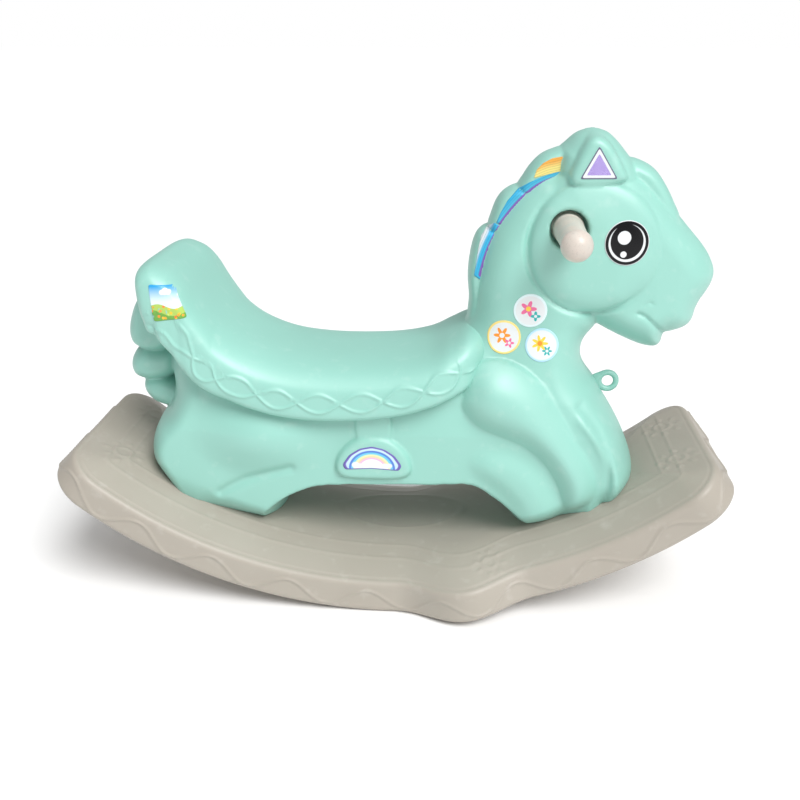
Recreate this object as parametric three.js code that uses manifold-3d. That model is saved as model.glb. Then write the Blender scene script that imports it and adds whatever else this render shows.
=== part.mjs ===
// Toy rocking horse: a hollow blow-moulded horse screwed onto a hollow curved rocker tray.
//
// Millimetres, +Z up, +X towards the horse's head, -Y its right side.  The origin is the middle
// of the rocker's underside, where it meets the floor.  The rocker is an arc about an axis
// along Y, so a place on it is given by its distance along the arc and its height above the
// arc.  Heights on the horse are measured from its datum, the tips of its hooves before they are
// trimmed to the tray.

import * as THREE from 'three';
import { LoftGeometry } from 'three/addons/geometries/LoftGeometry.js';
import { mergeVertices } from 'three/addons/utils/BufferGeometryUtils.js';
import Module from 'manifold-3d';

const wasm = await Module();
wasm.setup();

// Rocker tray
const BASE_LENGTH = 780;
const BASE_WIDTH = 270;
const EDGE_HEIGHT = 39;
const CROWN = 20; // rise of the top from its rounded edge to the level strip down the middle
const CROWN_WIDTH = 46;
const ROCKER_RADIUS = 576;
const PLAN_CORNER_RADIUS = 47;
const EDGE_RADIUS = 8;
const FOOT_REST_X = 92;
const FOOT_REST_LENGTH = 165;
const FOOT_REST_BULGE = 30;
const ARC_STEPS = 33; // odd, so that one flat step lies level under the middle
const CORNER_STEPS = 4;
const EDGE_STEPS = 2;

// Blow-moulded walls
const WALL = 2.6;
const BLOW_HOLE_RADIUS = 5;
const BASE_BLOW_HOLE_X = -300;
const AIR_FINENESS = 0.7; // share of the skin's facets that the air inside has

// Fits
const GAP = 0.3; // between pieces that touch
const PLAY = 1; // round a piece that turns

// Screws that hold the horse to the tray
const SCREW_RADIUS = 3;
const SCREW_HEAD_RADIUS = 6.5;
const SCREW_HEAD_HEIGHT = 4.5;
const SCREW_BITE = 26;
const SCREW_HALF_SPACING = 48;
const FRONT_SCREW_X = 190;
const REAR_SCREW_X = -205;
const SCREW_SEAT = 14; // solid thickness between the washer and the tray floor
const WASHER_RADIUS = 11;
const WASHER_THICKNESS = 1.6;
const COLUMN_WALL = 5;
const BOSS_WALL = 6;

// Handlebar
const HANDLE_X = 191;
const HANDLE_HEIGHT = 398;
const BALL_Y = 150;
const BALL_RADIUS = 15.5;
const SHAFT_RADIUS = 13;
const COLLAR_RADIUS = 18;
const COLLAR_THICKNESS = 6;
const SOCKET_FLOOR_Y = 47;
const STUB_RADIUS = 11;
const CORE_RADIUS = 5;
const CORE_HALF_LENGTH = 118;

// Horse
const HOOF_TRIM = 24; // the horse's datum, its untrimmed hoof tips, is this far below the floor
const BODY_HALF_WIDTH = 86;
const SADDLE_HALF_WIDTH = 105;
const HEAD_HALF_WIDTH = 58;
const EAR_Y = 40;
const TAB_THICKNESS = 5;
const RING_X = 244;
const RING_HEIGHT = 211;
const RING_RADIUS = 13;
const RING_HOLE_RADIUS = 6.5;

// Decals
const FILM = 0.5;
const EYE_RADIUS = 24;
const ROUND_DECAL_RADIUS = 18.5;

const arcStep = (2 * (rockerHalfArc() - PLAN_CORNER_RADIUS)) / ARC_STEPS / ROCKER_RADIUS;
const arcCentreHeight = ROCKER_RADIUS * Math.cos(arcStep / 2);
const trayFloor = EDGE_HEIGHT + CROWN;
const horseDatum = trayFloor - HOOF_TRIM;

// Turns a closed three.js geometry into a solid, faces outward.
function solid(geometry) {
  const bare = new THREE.BufferGeometry();
  bare.setAttribute('position', geometry.attributes.position);
  bare.setIndex(geometry.index);
  const merged = mergeVertices(bare, 1e-4);
  const vertProperties = Float32Array.from(merged.attributes.position.array);
  const triVerts = Uint32Array.from(merged.index.array);
  return new wasm.Manifold(new wasm.Mesh({ numProp: 3, vertProperties, triVerts }));
}

// Gives a solid back as a geometry.
function geometryOf(body) {
  const mesh = body.getMesh();
  const geometry = new THREE.BufferGeometry();
  geometry.setAttribute('position', new THREE.BufferAttribute(mesh.vertProperties, 3));
  geometry.setIndex(new THREE.BufferAttribute(mesh.triVerts, 1));
  geometry.computeVertexNormals();
  return geometry;
}

function join(bodies) {
  return bodies.reduce((whole, body) => whole.add(body));
}

function loft(sections) {
  return solid(new LoftGeometry(sections, { closed: true, capStart: true, capEnd: true }));
}

// A round bar from one height to another, standing at (x, y).
function uprightBar(x, y, radius, bottom, top, sides = 20) {
  const bar = new THREE.CylinderGeometry(radius, radius, top - bottom, sides);
  bar.rotateX(Math.PI / 2);
  bar.translate(x, y, (bottom + top) / 2);
  return solid(bar);
}

// A round bar across the horse, from y = from to y = to.
function crossBar(x, z, radius, from, to, sides = 28) {
  const bar = new THREE.CylinderGeometry(radius, radius, to - from, sides);
  bar.translate(x, (from + to) / 2, z);
  return solid(bar);
}

function box(width, depth, height, x, y, z) {
  const block = new THREE.BoxGeometry(width, depth, height);
  block.translate(x, y, z);
  return solid(block);
}

// A profile turned about Y: points are (radius, y), from the axis back to the axis.
function turned(points, sides = 20) {
  return solid(new THREE.LatheGeometry(points.map(([r, y]) => new THREE.Vector2(r, y)), sides));
}

// ---------------------------------------------------------------- rocker tray

// Half the length of the underside's arc.
function rockerHalfArc() {
  return ROCKER_RADIUS * Math.asin(BASE_LENGTH / 2 / ROCKER_RADIUS);
}

// The point `along` the arc, `across` the tray and `height` above the underside.
function arcPoint(along, across, height) {
  const angle = along / ROCKER_RADIUS;
  const radius = ROCKER_RADIUS - height;
  return new THREE.Vector3(
    radius * Math.sin(angle), across, arcCentreHeight - radius * Math.cos(angle));
}

// Height above the floor, at length x, of the surface that lies `height` above the underside.
function surfaceHeight(x, height) {
  return arcCentreHeight - Math.sqrt((ROCKER_RADIUS - height) ** 2 - x ** 2);
}

// The bulge in each long side that gives the rider's feet a place to stand.
function footRestBulge(along) {
  const phase = (along - FOOT_REST_X) / FOOT_REST_LENGTH;
  return Math.abs(phase) < 0.5 ? FOOT_REST_BULGE * Math.cos(Math.PI * phase) ** 2 : 0;
}

// Places along the arc with the tray's half width at each, drawn in by `inset` all round.
function trayPlan(inset) {
  const straight = rockerHalfArc() - PLAN_CORNER_RADIUS;
  const corner = PLAN_CORNER_RADIUS - inset;
  const plan = [];
  for (let i = 0; i <= ARC_STEPS; i++) {
    const along = straight * (2 * i / ARC_STEPS - 1);
    plan.push([along, BASE_WIDTH / 2 - inset + footRestBulge(along)]);
  }
  for (let i = 1; i <= CORNER_STEPS; i++) {
    const turn = (Math.PI / 2) * (i / CORNER_STEPS);
    const along = straight + corner * Math.sin(turn);
    const half = BASE_WIDTH / 2 - inset - corner * (1 - Math.cos(turn));
    plan.push([along, half]);
    plan.unshift([-along, half]);
  }
  return plan;
}

// The tray's plan swept between two heights above the underside: rounded long edges, and a top
// that rises from them to a level strip, and sinks again towards both ends.
function trayLoft(inset, bottom, edgeTop, radius, edgeSteps = 1) {
  const centre = (bottom + edgeTop) / 2;
  const straight = (edgeTop - bottom) / 2 - radius;
  const corners = [[1, 1], [-1, 1], [-1, -1], [1, -1]];
  const sections = trayPlan(inset).map(([along, half]) => {
    const fromEnd = rockerHalfArc() - inset - Math.abs(along);
    const crownTop = edgeTop + CROWN * THREE.MathUtils.smoothstep(fromEnd, 0, CROWN_WIDTH);
    const section = [];
    corners.forEach(([side, level], quarter) => {
      if (quarter === 1) {
        section.push(arcPoint(along, half + inset - CROWN_WIDTH, crownTop));
        section.push(arcPoint(along, CROWN_WIDTH - inset - half, crownTop));
      }
      for (let i = 0; i <= edgeSteps; i++) {
        const angle = (Math.PI / 2) * (quarter + i / edgeSteps);
        const across = side * (half - radius) + radius * Math.cos(angle);
        const height = centre + level * straight + radius * Math.sin(angle);
        section.push(arcPoint(along, across, height));
      }
    });
    return section;
  });
  return loft(sections);
}

// All that lies below the surface `height` above the underside, for cutting the hooves to it.
function underTray(height) {
  const reach = BASE_WIDTH;
  const bottom = -EDGE_HEIGHT;
  const sections = trayPlan(0).map(([along]) => [
    arcPoint(along, reach, height), arcPoint(along, -reach, height),
    arcPoint(along, -reach, bottom), arcPoint(along, reach, bottom)]);
  return loft(sections);
}

const screwPlaces = [
  ['front_right', FRONT_SCREW_X, -SCREW_HALF_SPACING],
  ['front_left', FRONT_SCREW_X, SCREW_HALF_SPACING],
  ['rear_right', REAR_SCREW_X, -SCREW_HALF_SPACING],
  ['rear_left', REAR_SCREW_X, SCREW_HALF_SPACING],
];

// Height of the flat that the washer bears on, inside the counterbore.
function seatHeight(x) {
  return surfaceHeight(x, trayFloor) - SCREW_SEAT;
}

// One hollow moulding: two skins, joined at a column round each screw.
function rockerTray() {
  const hollow = trayLoft(WALL, WALL, EDGE_HEIGHT - WALL, EDGE_RADIUS - WALL);
  const columns = screwPlaces.map(([, x, y]) => uprightBar(
    x, y, WASHER_RADIUS + PLAY + COLUMN_WALL, 0, surfaceHeight(Math.abs(x), 2 * trayFloor)));
  const blowHole = uprightBar(BASE_BLOW_HOLE_X, 0, BLOW_HOLE_RADIUS,
    surfaceHeight(BASE_BLOW_HOLE_X, 0) - EDGE_HEIGHT / 2,
    surfaceHeight(BASE_BLOW_HOLE_X, EDGE_HEIGHT / 2));
  let tray = trayLoft(0, 0, EDGE_HEIGHT, EDGE_RADIUS, EDGE_STEPS)
    .subtract(hollow.subtract(join(columns)))
    .subtract(blowHole);
  for (const [, x, y] of screwPlaces) {
    const seat = seatHeight(x);
    tray = tray
      .subtract(uprightBar(x, y, WASHER_RADIUS + PLAY, 0, seat))
      .subtract(uprightBar(x, y, SCREW_RADIUS + GAP, 0, seat + 2 * SCREW_SEAT));
  }
  return tray;
}

// ---------------------------------------------------------------- horse

// Reads rows of [place, ...sizes] as smooth curves of the place.
function curves(rows) {
  const places = rows.map((row) => row[0]);
  const sizes = rows.flatMap((row) => row.slice(1));
  const interpolant = new THREE.CubicInterpolant(places, sizes, rows[0].length - 1);
  return (place) => Array.from(interpolant.evaluate(place));
}

// Places from the first row's to the last's, closer together near both ends.
function spread(rows, steps) {
  const first = rows[0][0];
  const last = rows[rows.length - 1][0];
  return Array.from({ length: steps + 1 }, (_, i) => {
    const even = i / steps;
    const eased = (1 - Math.cos(Math.PI * even)) / 2;
    return THREE.MathUtils.lerp(first, last, (even + eased) / 2);
  });
}

// A closed curve in a plane: half widths right, up and down from its widest line.
// Power 2 is an ellipse; more is squarer.
function oval(halfWidth, up, down, power, sides) {
  return Array.from({ length: sides }, (_, i) => {
    const angle = (2 * Math.PI * (i + 0.5)) / sides;
    const c = Math.cos(angle);
    const s = Math.sin(angle);
    const across = halfWidth * Math.sign(c) * Math.abs(c) ** (2 / power);
    const rise = (s > 0 ? up : down) * Math.sign(s) * Math.abs(s) ** (2 / power);
    return [across, rise];
  });
}

// The number of facets for a skin, or for the air inside it, which is plainer.
function facets(count, grow) {
  return grow < 0 ? Math.round(count * AIR_FINENESS) : count;
}

// A mass lofted along X.  Rows are [x, lowest, widest, highest, half width], heights from the
// datum.  `grow` thickens it all round, or thins it where negative.
function massAlongX(rows, grow, { power = 2.4, steps = 14, sides = 16 } = {}) {
  const read = curves(rows);
  const middle = (rows[0][0] + rows[rows.length - 1][0]) / 2;
  const halfLength = middle - rows[0][0];
  const sections = spread(rows, facets(steps, grow)).map((x) => {
    const [low, widest, high, half] = read(x);
    const centre = horseDatum + widest;
    const grownX = middle + (x - middle) * (1 + grow / halfLength);
    const up = high - widest + grow;
    const down = widest - low + grow;
    return oval(half + grow, up, down, power, facets(sides, grow))
      .map(([across, rise]) => new THREE.Vector3(grownX, across, centre + rise));
  });
  return loft(sections);
}

// A mass lofted upward.  Rows are [height, rearmost x, foremost x, half width].
function massUpward(rows, grow, { power = 2.2, steps = 7, sides = 16 } = {}) {
  const read = curves(rows);
  const sections = spread(rows, facets(steps, grow)).map((height) => {
    const [rear, front, half] = read(height);
    const middle = (rear + front) / 2;
    const reach = (front - rear) / 2;
    return oval(reach + grow, half + grow, half + grow, power, facets(sides, grow))
      .map(([along, across]) => new THREE.Vector3(middle + along, across, horseDatum + height));
  });
  return loft(sections);
}

// A round mass: centre (x, y, height), radii along X, Y and Z, tipped head-down by `tilt` degrees.
function roundMass([x, y, height], [rx, ry, rz], grow, { tilt = 0, sides = 12 } = {}) {
  const around = facets(sides, grow);
  const ball = new THREE.SphereGeometry(1, around, Math.round(around / 2));
  ball.scale(rx + grow, ry + grow, rz + grow);
  ball.rotateY(THREE.MathUtils.degToRad(tilt));
  ball.translate(x, y, horseDatum + height);
  return solid(ball);
}

// The same round mass on both sides of the horse.
function pairOfMasses([x, y, height], radii, grow, options) {
  return join([-y, y].map((side) => roundMass([x, side, height], radii, grow, options)));
}

function trunk(grow) {
  return massAlongX([
    [-270, 195, 240, 290, 0.5 * BODY_HALF_WIDTH],
    [-260, 150, 230, 318, 0.82 * BODY_HALF_WIDTH],
    [-235, 120, 220, 330, BODY_HALF_WIDTH],
    [-190, 112, 190, 285, BODY_HALF_WIDTH + 2],
    [-100, 112, 175, 245, BODY_HALF_WIDTH],
    [40, 112, 175, 245, BODY_HALF_WIDTH],
    [130, 104, 180, 275, BODY_HALF_WIDTH],
    [190, 92, 165, 254, BODY_HALF_WIDTH - 2],
    [232, 82, 135, 204, BODY_HALF_WIDTH - 8],
    [260, 82, 115, 154, 0.8 * BODY_HALF_WIDTH],
    [275, 92, 108, 125, 0.5 * BODY_HALF_WIDTH],
  ], grow, { steps: 16, power: 2.6 });
}

function saddle(grow) {
  return massAlongX([
    [-276, 318, 326, 338, 0.5 * SADDLE_HALF_WIDTH],
    [-266, 308, 318, 351, 0.8 * SADDLE_HALF_WIDTH],
    [-250, 284, 296, 358, 0.94 * SADDLE_HALF_WIDTH],
    [-230, 244, 258, 357, SADDLE_HALF_WIDTH - 1],
    [-210, 222, 238, 335, SADDLE_HALF_WIDTH],
    [-180, 204, 220, 292, SADDLE_HALF_WIDTH],
    [-130, 190, 206, 262, SADDLE_HALF_WIDTH],
    [-60, 185, 201, 252, SADDLE_HALF_WIDTH],
    [10, 192, 207, 255, SADDLE_HALF_WIDTH],
    [60, 208, 222, 271, SADDLE_HALF_WIDTH - 6],
    [90, 228, 240, 287, SADDLE_HALF_WIDTH - 22],
    [104, 250, 258, 275, 0.5 * SADDLE_HALF_WIDTH],
  ], grow, { steps: 20, power: 2.5 });
}

// The folded hooves, long enough to be cut to the tray floor wherever that lies.
function rearHooves(grow) {
  return massAlongX([
    [-264, 84, 112, 138, 60],
    [-250, 52, 100, 150, 76],
    [-215, 24, 90, 150, 84],
    [-175, 8, 80, 140, 82],
    [-145, 14, 76, 122, 74],
    [-122, 60, 84, 105, 50],
  ], grow, { steps: 8, sides: 14, power: 2.5 });
}

function frontHooves(grow) {
  return massAlongX([
    [110, 66, 88, 112, 48],
    [132, 16, 78, 146, 72],
    [165, 6, 82, 160, 82],
    [205, 16, 90, 160, 84],
    [240, 44, 98, 150, 78],
    [266, 82, 106, 130, 56],
  ], grow, { steps: 8, sides: 14, power: 2.5 });
}

function neck(grow) {
  return massUpward([
    [170, 80, 248, 72],
    [210, 82, 230, 70],
    [240, 85, 217, 66],
    [270, 86, 213, 61],
    [300, 86, 218, 56],
    [340, 88, 228, 52],
    [385, 100, 240, 48],
  ], grow);
}

function head(grow) {
  return massAlongX([
    [100, 338, 368, 398, 0.42 * HEAD_HALF_WIDTH],
    [118, 318, 375, 428, 0.68 * HEAD_HALF_WIDTH],
    [150, 302, 385, 460, 0.88 * HEAD_HALF_WIDTH],
    [200, 284, 385, 484, HEAD_HALF_WIDTH - 2],
    [240, 268, 378, 480, HEAD_HALF_WIDTH],
    [280, 254, 356, 452, HEAD_HALF_WIDTH - 5],
    [310, 258, 340, 414, HEAD_HALF_WIDTH - 9],
    [335, 272, 330, 382, HEAD_HALF_WIDTH - 14],
    [350, 292, 328, 362, 0.6 * HEAD_HALF_WIDTH],
    [358, 312, 328, 344, 0.36 * HEAD_HALF_WIDTH],
  ], grow);
}

function cheeks(grow) {
  return roundMass([219, 0, 376], [72, HEAD_HALF_WIDTH + 6, 72], grow, { sides: 20 });
}

function haunches(grow) {
  return pairOfMasses([-172, BODY_HALF_WIDTH - 26, 158], [98, 40, 68], grow, { sides: 16 });
}

function frontThighs(grow) {
  return pairOfMasses([148, BODY_HALF_WIDTH - 26, 194], [98, 40, 50], grow, { tilt: 30, sides: 16 });
}

function shins(grow) {
  return pairOfMasses([212, BODY_HALF_WIDTH - 24, 122], [38, 38, 64], grow, { tilt: 8 });
}

// Stacked locks of the tail.
function tail(grow) {
  const locks = [[-284, 268, 28], [-287, 224, 27], [-279, 188, 24]];
  return join(locks.map(([x, height, radius]) =>
    roundMass([x, 0, height], [radius, 34, radius], grow)));
}

// Scallops of the mane, up the back of the neck, then of the forelock.
function mane(grow) {
  const scallops = [
    [106, 318, 22], [104, 360, 23], [120, 408, 24], [147, 444, 24], [176, 464, 22],
    [262, 449, 20], [284, 428, 20], [302, 402, 18],
  ];
  return join(scallops.map(([x, height, radius]) =>
    roundMass([x, 0, height], [radius, 27, radius], grow, { sides: 10 })));
}

function ears(grow) {
  return pairOfMasses([219, EAR_Y, 467], [29, 19, 30], grow);
}

// The raised oval pads on the flanks.
function flankPads(grow) {
  return pairOfMasses([-20, BODY_HALF_WIDTH - 16, 137], [41, 23, 25], grow);
}

// The masses with air inside them; the rest are too small and mould solid.
const hollowMasses = [trunk, saddle, rearHooves, frontHooves, neck, head, cheeks, haunches,
  frontThighs, shins, mane, ears];
const solidMasses = [tail, flankPads];

// The horse's skin, `grow` outside its real place.
function skin(grow) {
  return join([...hollowMasses, ...solidMasses].map((mass) => mass(grow)));
}

// The eye in the parting line of the chest, for a pull cord.
function chestRing() {
  const height = horseDatum + RING_HEIGHT;
  const half = TAB_THICKNESS / 2;
  const plate = crossBar(RING_X, height, RING_RADIUS, -half, half);
  const root = box(2 * RING_RADIUS, TAB_THICKNESS, RING_RADIUS, RING_X - RING_RADIUS - 2, 0, height);
  return [plate.add(root), crossBar(RING_X, height, RING_HOLE_RADIUS, -half - PLAY, half + PLAY)];
}

// A bar the shape of the handlebar's way through the head, `extra` bigger all round.
function handleWay(extra) {
  const z = horseDatum + HANDLE_HEIGHT;
  const reach = BALL_Y;
  const floor = SOCKET_FLOOR_Y - extra;
  return join([
    crossBar(HANDLE_X, z, STUB_RADIUS + PLAY + extra, -reach, reach),
    crossBar(HANDLE_X, z, COLLAR_RADIUS + PLAY + extra, -reach, -floor),
    crossBar(HANDLE_X, z, COLLAR_RADIUS + PLAY + extra, floor, reach)]);
}

// One hollow moulding, open at the blow hole under the belly.
function horseBody() {
  const pilots = [];
  const bosses = [];
  for (const [, x, y] of screwPlaces) {
    const floor = surfaceHeight(x, trayFloor);
    pilots.push(uprightBar(x, y, SCREW_RADIUS + GAP, floor - SCREW_SEAT, floor + SCREW_BITE + PLAY));
    bosses.push(uprightBar(x, y, SCREW_RADIUS + BOSS_WALL, 0, floor + SCREW_BITE + BOSS_WALL));
  }
  const air = join(hollowMasses.map((mass) => mass(-WALL)))
    .subtract(underTray(trayFloor + WALL))
    .subtract(handleWay(WALL))
    .subtract(join(bosses));
  const [ring, ringHole] = chestRing();
  const belly = horseDatum + 112;
  return skin(0)
    .subtract(underTray(trayFloor + GAP))
    .add(ring)
    .subtract(air)
    .subtract(ringHole)
    .subtract(handleWay(0))
    .subtract(join(pilots))
    .subtract(uprightBar(0, 0, BLOW_HOLE_RADIUS, belly - 20, belly + 20));
}

// ---------------------------------------------------------------- handlebar

// One grip, its ball at +Y: stub in the tunnel, collar in the socket, shaft, ball, blind bore.
function grip() {
  const bore = CORE_RADIUS + GAP;
  const seat = SOCKET_FLOOR_Y + GAP;
  const collarEnd = seat + COLLAR_THICKNESS;
  const neckAngle = Math.asin(SHAFT_RADIUS / BALL_RADIUS);
  const ball = Array.from({ length: 7 }, (_, i) => {
    const angle = THREE.MathUtils.lerp(Math.PI - neckAngle, 0, i / 6);
    return [BALL_RADIUS * Math.sin(angle), BALL_Y + BALL_RADIUS * Math.cos(angle)];
  });
  return turned([
    [0, CORE_HALF_LENGTH + GAP], [bore, CORE_HALF_LENGTH + GAP], [bore, GAP], [STUB_RADIUS, GAP],
    [STUB_RADIUS, seat], [COLLAR_RADIUS, seat], [COLLAR_RADIUS, collarEnd - 1],
    [COLLAR_RADIUS - 1, collarEnd], [SHAFT_RADIUS, collarEnd], ...ball,
  ]);
}

function core() {
  return turned([
    [0, -CORE_HALF_LENGTH], [CORE_RADIUS - 1, -CORE_HALF_LENGTH], [CORE_RADIUS, 1 - CORE_HALF_LENGTH],
    [CORE_RADIUS, CORE_HALF_LENGTH - 1], [CORE_RADIUS - 1, CORE_HALF_LENGTH], [0, CORE_HALF_LENGTH],
  ], 16);
}

// ---------------------------------------------------------------- screws

// A pan-head screw pointing up, the underside of its head at height 0.
function screw() {
  const reach = WASHER_THICKNESS + 3 * GAP + SCREW_SEAT + SCREW_BITE;
  const slotDepth = SCREW_HEAD_HEIGHT / 2;
  const body = turned([
    [0, -SCREW_HEAD_HEIGHT], [0.7 * SCREW_HEAD_RADIUS, -SCREW_HEAD_HEIGHT],
    [SCREW_HEAD_RADIUS, -0.6 * SCREW_HEAD_HEIGHT], [SCREW_HEAD_RADIUS, 0], [SCREW_RADIUS, 0],
    [SCREW_RADIUS, reach - 2 * SCREW_RADIUS], [0, reach],
  ], 16);
  const slots = [[SCREW_HEAD_RADIUS, 1.2], [1.2, SCREW_HEAD_RADIUS]].map(([width, depth]) =>
    box(width, 2 * slotDepth, depth, 0, -SCREW_HEAD_HEIGHT, 0));
  return body.subtract(join(slots));
}

function washer() {
  const bore = SCREW_RADIUS + GAP;
  return turned([
    [bore, 0], [WASHER_RADIUS, 0], [WASHER_RADIUS, WASHER_THICKNESS], [bore, WASHER_THICKNESS],
    [bore, 0],
  ], 20);
}

// ---------------------------------------------------------------- decals

// A shape drawn in (x, height), pushed out from |y| = inner through one side.
function sidePunch({ shape, inner = TAB_THICKNESS }, side) {
  const depth = 2 * SADDLE_HALF_WIDTH;
  const punch = new THREE.ExtrudeGeometry(shape, { depth, bevelEnabled: false, curveSegments: 8 });
  punch.rotateX(Math.PI / 2);
  punch.translate(0, side > 0 ? inner + depth : -inner, horseDatum);
  return solid(punch);
}

function disc(x, height, radius) {
  return new THREE.Shape().absarc(x, height, radius, 0, 2 * Math.PI);
}

function halfMoon(x, height, halfLength, rise) {
  const shape = new THREE.Shape();
  shape.absellipse(x, height, halfLength, rise, 0, Math.PI);
  return shape;
}

function polygon(points) {
  return new THREE.Shape(points.map(([x, height]) => new THREE.Vector2(x, height)));
}

const decalCuts = {
  eye: { shape: disc(253, 385, EYE_RADIUS) },
  ear: { shape: polygon([[201, 451], [239, 452], [219, 484]]), inner: EAR_Y },
  mane_top: { shape: polygon([[152, 449], [169, 461], [187, 465], [187, 470], [170, 474], [154, 461]]) },
  mane_middle: { shape: polygon([[119, 398], [136, 426], [162, 446], [158, 452], [133, 436], [115, 410]]) },
  mane_low: { shape: polygon([[97, 350], [102, 370], [112, 390], [106, 395], [97, 378], [91, 355]]) },
  round_upper: { shape: disc(154, 308, ROUND_DECAL_RADIUS) },
  round_rear: { shape: disc(126, 278, ROUND_DECAL_RADIUS) },
  round_front: { shape: disc(168, 270, ROUND_DECAL_RADIUS) },
  picture: { shape: polygon([[-254, 301], [-224, 308], [-229, 348], [-256, 342]]) },
  rainbow: { shape: halfMoon(-20, 127, 30, 23) },
};

// A thin film lying on the horse's skin, cut to shape.
function decals() {
  const film = skin(GAP + FILM).subtract(skin(GAP));
  return Object.entries(decalCuts).flatMap(([name, cut]) =>
    [['right', -1], ['left', 1]].map(([sideName, side]) =>
      [`${name}_decal_${sideName}`, film.intersect(sidePunch(cut, side))]));
}

// ---------------------------------------------------------------- assembly

const mint = new THREE.MeshStandardMaterial({ color: 0x93e8cf, roughness: 0.4, metalness: 0 });
const sand = new THREE.MeshStandardMaterial({ color: 0xcfc9c0, roughness: 0.5, metalness: 0 });
const speckle = new THREE.MeshStandardMaterial({ color: 0xc6bfae, roughness: 0.45, metalness: 0 });
const nylon = new THREE.MeshStandardMaterial({ color: 0xe4e0d6, roughness: 0.5, metalness: 0 });
const steel = new THREE.MeshStandardMaterial({ color: 0xb9bcc0, roughness: 0.3, metalness: 1 });
const print = new THREE.MeshStandardMaterial({ color: 0xe9eef4, roughness: 0.3, metalness: 0 });

const horse = new THREE.Group();

// Adds one named piece; the place and turn are the mesh's own.
function add(name, body, material, place = [0, 0, 0], turn = [0, 0, 0]) {
  const mesh = new THREE.Mesh(geometryOf(body), material);
  mesh.name = name;
  mesh.position.set(...place);
  mesh.rotation.set(...turn);
  horse.add(mesh);
}

add('rocker_base', rockerTray(), sand);
add('horse_body', horseBody(), mint);

const handlePlace = [HANDLE_X, 0, horseDatum + HANDLE_HEIGHT];
add('handle_core', core(), nylon, handlePlace);
add('handle_grip_left', grip(), speckle, handlePlace);
add('handle_grip_right', grip(), speckle, handlePlace, [Math.PI, 0, 0]);

const upright = [Math.PI / 2, 0, 0];
for (const [name, x, y] of screwPlaces) {
  const washerHeight = seatHeight(x) - GAP - WASHER_THICKNESS;
  add(`base_washer_${name}`, washer(), steel, [x, y, washerHeight], upright);
  add(`base_screw_${name}`, screw(), steel, [x, y, washerHeight - GAP], upright);
}

for (const [name, body] of decals()) {
  add(name, body, print);
}

export default horse;
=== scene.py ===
# %% [markdown]
# # A blow-moulded rocking horse
# A mint horse is screwed onto a warm grey rocking tray, and a plastic handlebar turns in its head.
# The CAD frame gives every size and joint. This lesson builds the surfaces that the eye sees around
# it: each one is a formula worked out on whole numpy arrays, in millimetres, and put into a mesh.

import bmesh
import bpy
import numpy as np
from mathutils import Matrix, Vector


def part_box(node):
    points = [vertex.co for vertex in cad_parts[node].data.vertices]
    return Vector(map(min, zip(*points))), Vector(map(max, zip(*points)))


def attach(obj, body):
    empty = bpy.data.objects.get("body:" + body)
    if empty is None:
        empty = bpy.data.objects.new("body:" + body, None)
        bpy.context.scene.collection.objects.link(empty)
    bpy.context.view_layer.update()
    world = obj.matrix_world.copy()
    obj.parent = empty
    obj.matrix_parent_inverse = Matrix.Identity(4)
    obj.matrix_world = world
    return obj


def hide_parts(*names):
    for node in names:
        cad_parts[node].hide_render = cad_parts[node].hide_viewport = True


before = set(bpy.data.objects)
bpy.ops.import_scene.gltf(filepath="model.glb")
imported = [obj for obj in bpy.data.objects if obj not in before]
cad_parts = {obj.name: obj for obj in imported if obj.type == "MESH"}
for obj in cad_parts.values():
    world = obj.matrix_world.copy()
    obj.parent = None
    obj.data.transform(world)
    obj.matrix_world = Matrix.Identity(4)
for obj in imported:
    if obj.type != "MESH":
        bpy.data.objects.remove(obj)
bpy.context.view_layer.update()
MM = 0.001


def box_mm(node):
    """Lowest and highest corner of a CAD node, in millimetres."""
    low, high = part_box(node)
    return np.array(low) / MM, np.array(high) / MM


HORSE_LOW, HORSE_HIGH = box_mm("horse_body")
TRAY_LOW, TRAY_HIGH = box_mm("rocker_base")
print("horse box", HORSE_LOW.round(), HORSE_HIGH.round(), "tray box", TRAY_LOW.round(), TRAY_HIGH.round())

# %% [markdown]
# ## Camera, floor and light
# The toy is seen from its right side, a little from above. A soft panel overhead, a wide soft sun
# from the front right and a white world all round give the even light of a catalogue picture. The
# world is dimmer as a light than as a backdrop, so that the shadows stay. The floor is one pale
# plane, so the tray's shadow is the only thing on it.

# %% Camera
CAMERA_PLACE = (0.0839, -1.147, 0.6282)
CAMERA_TURN_DEGREES = (70.15, 0.0, 3.89)
CAMERA_LENS = 45.44

camera_data = bpy.data.cameras.new("camera")
camera_data.lens = CAMERA_LENS
camera = bpy.data.objects.new("camera", camera_data)
camera.location = CAMERA_PLACE
camera.rotation_euler = np.radians(CAMERA_TURN_DEGREES)
bpy.context.collection.objects.link(camera)
bpy.context.scene.camera = camera

# %% Lights
AIM = Vector((0.0, 0.0, 0.25))


def soft_panel(name, place, size, power):
    """A square area lamp of `size` metres at `place`, turned to face the toy."""
    data = bpy.data.lights.new(name, "AREA")
    data.size = size
    data.energy = power
    lamp = bpy.data.objects.new(name, data)
    lamp.location = place
    lamp.rotation_euler = (AIM - lamp.location).to_track_quat("-Z", "Y").to_euler()
    bpy.context.collection.objects.link(lamp)


PANEL_PLACE, PANEL_SIZE, PANEL_POWER = (0.15, -0.3, 1.9), 1.3, 7
SUN_STRENGTH, SUN_WIDTH_DEGREES, SUN_TURN_DEGREES = 2.9, 32, (44, 0, 34)

soft_panel("overhead_panel", PANEL_PLACE, PANEL_SIZE, PANEL_POWER)
sun_data = bpy.data.lights.new("soft_sun", "SUN")
sun_data.energy = SUN_STRENGTH
sun_data.angle = np.radians(SUN_WIDTH_DEGREES)
sun = bpy.data.objects.new("soft_sun", sun_data)
sun.rotation_euler = np.radians(SUN_TURN_DEGREES)
bpy.context.collection.objects.link(sun)

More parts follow.
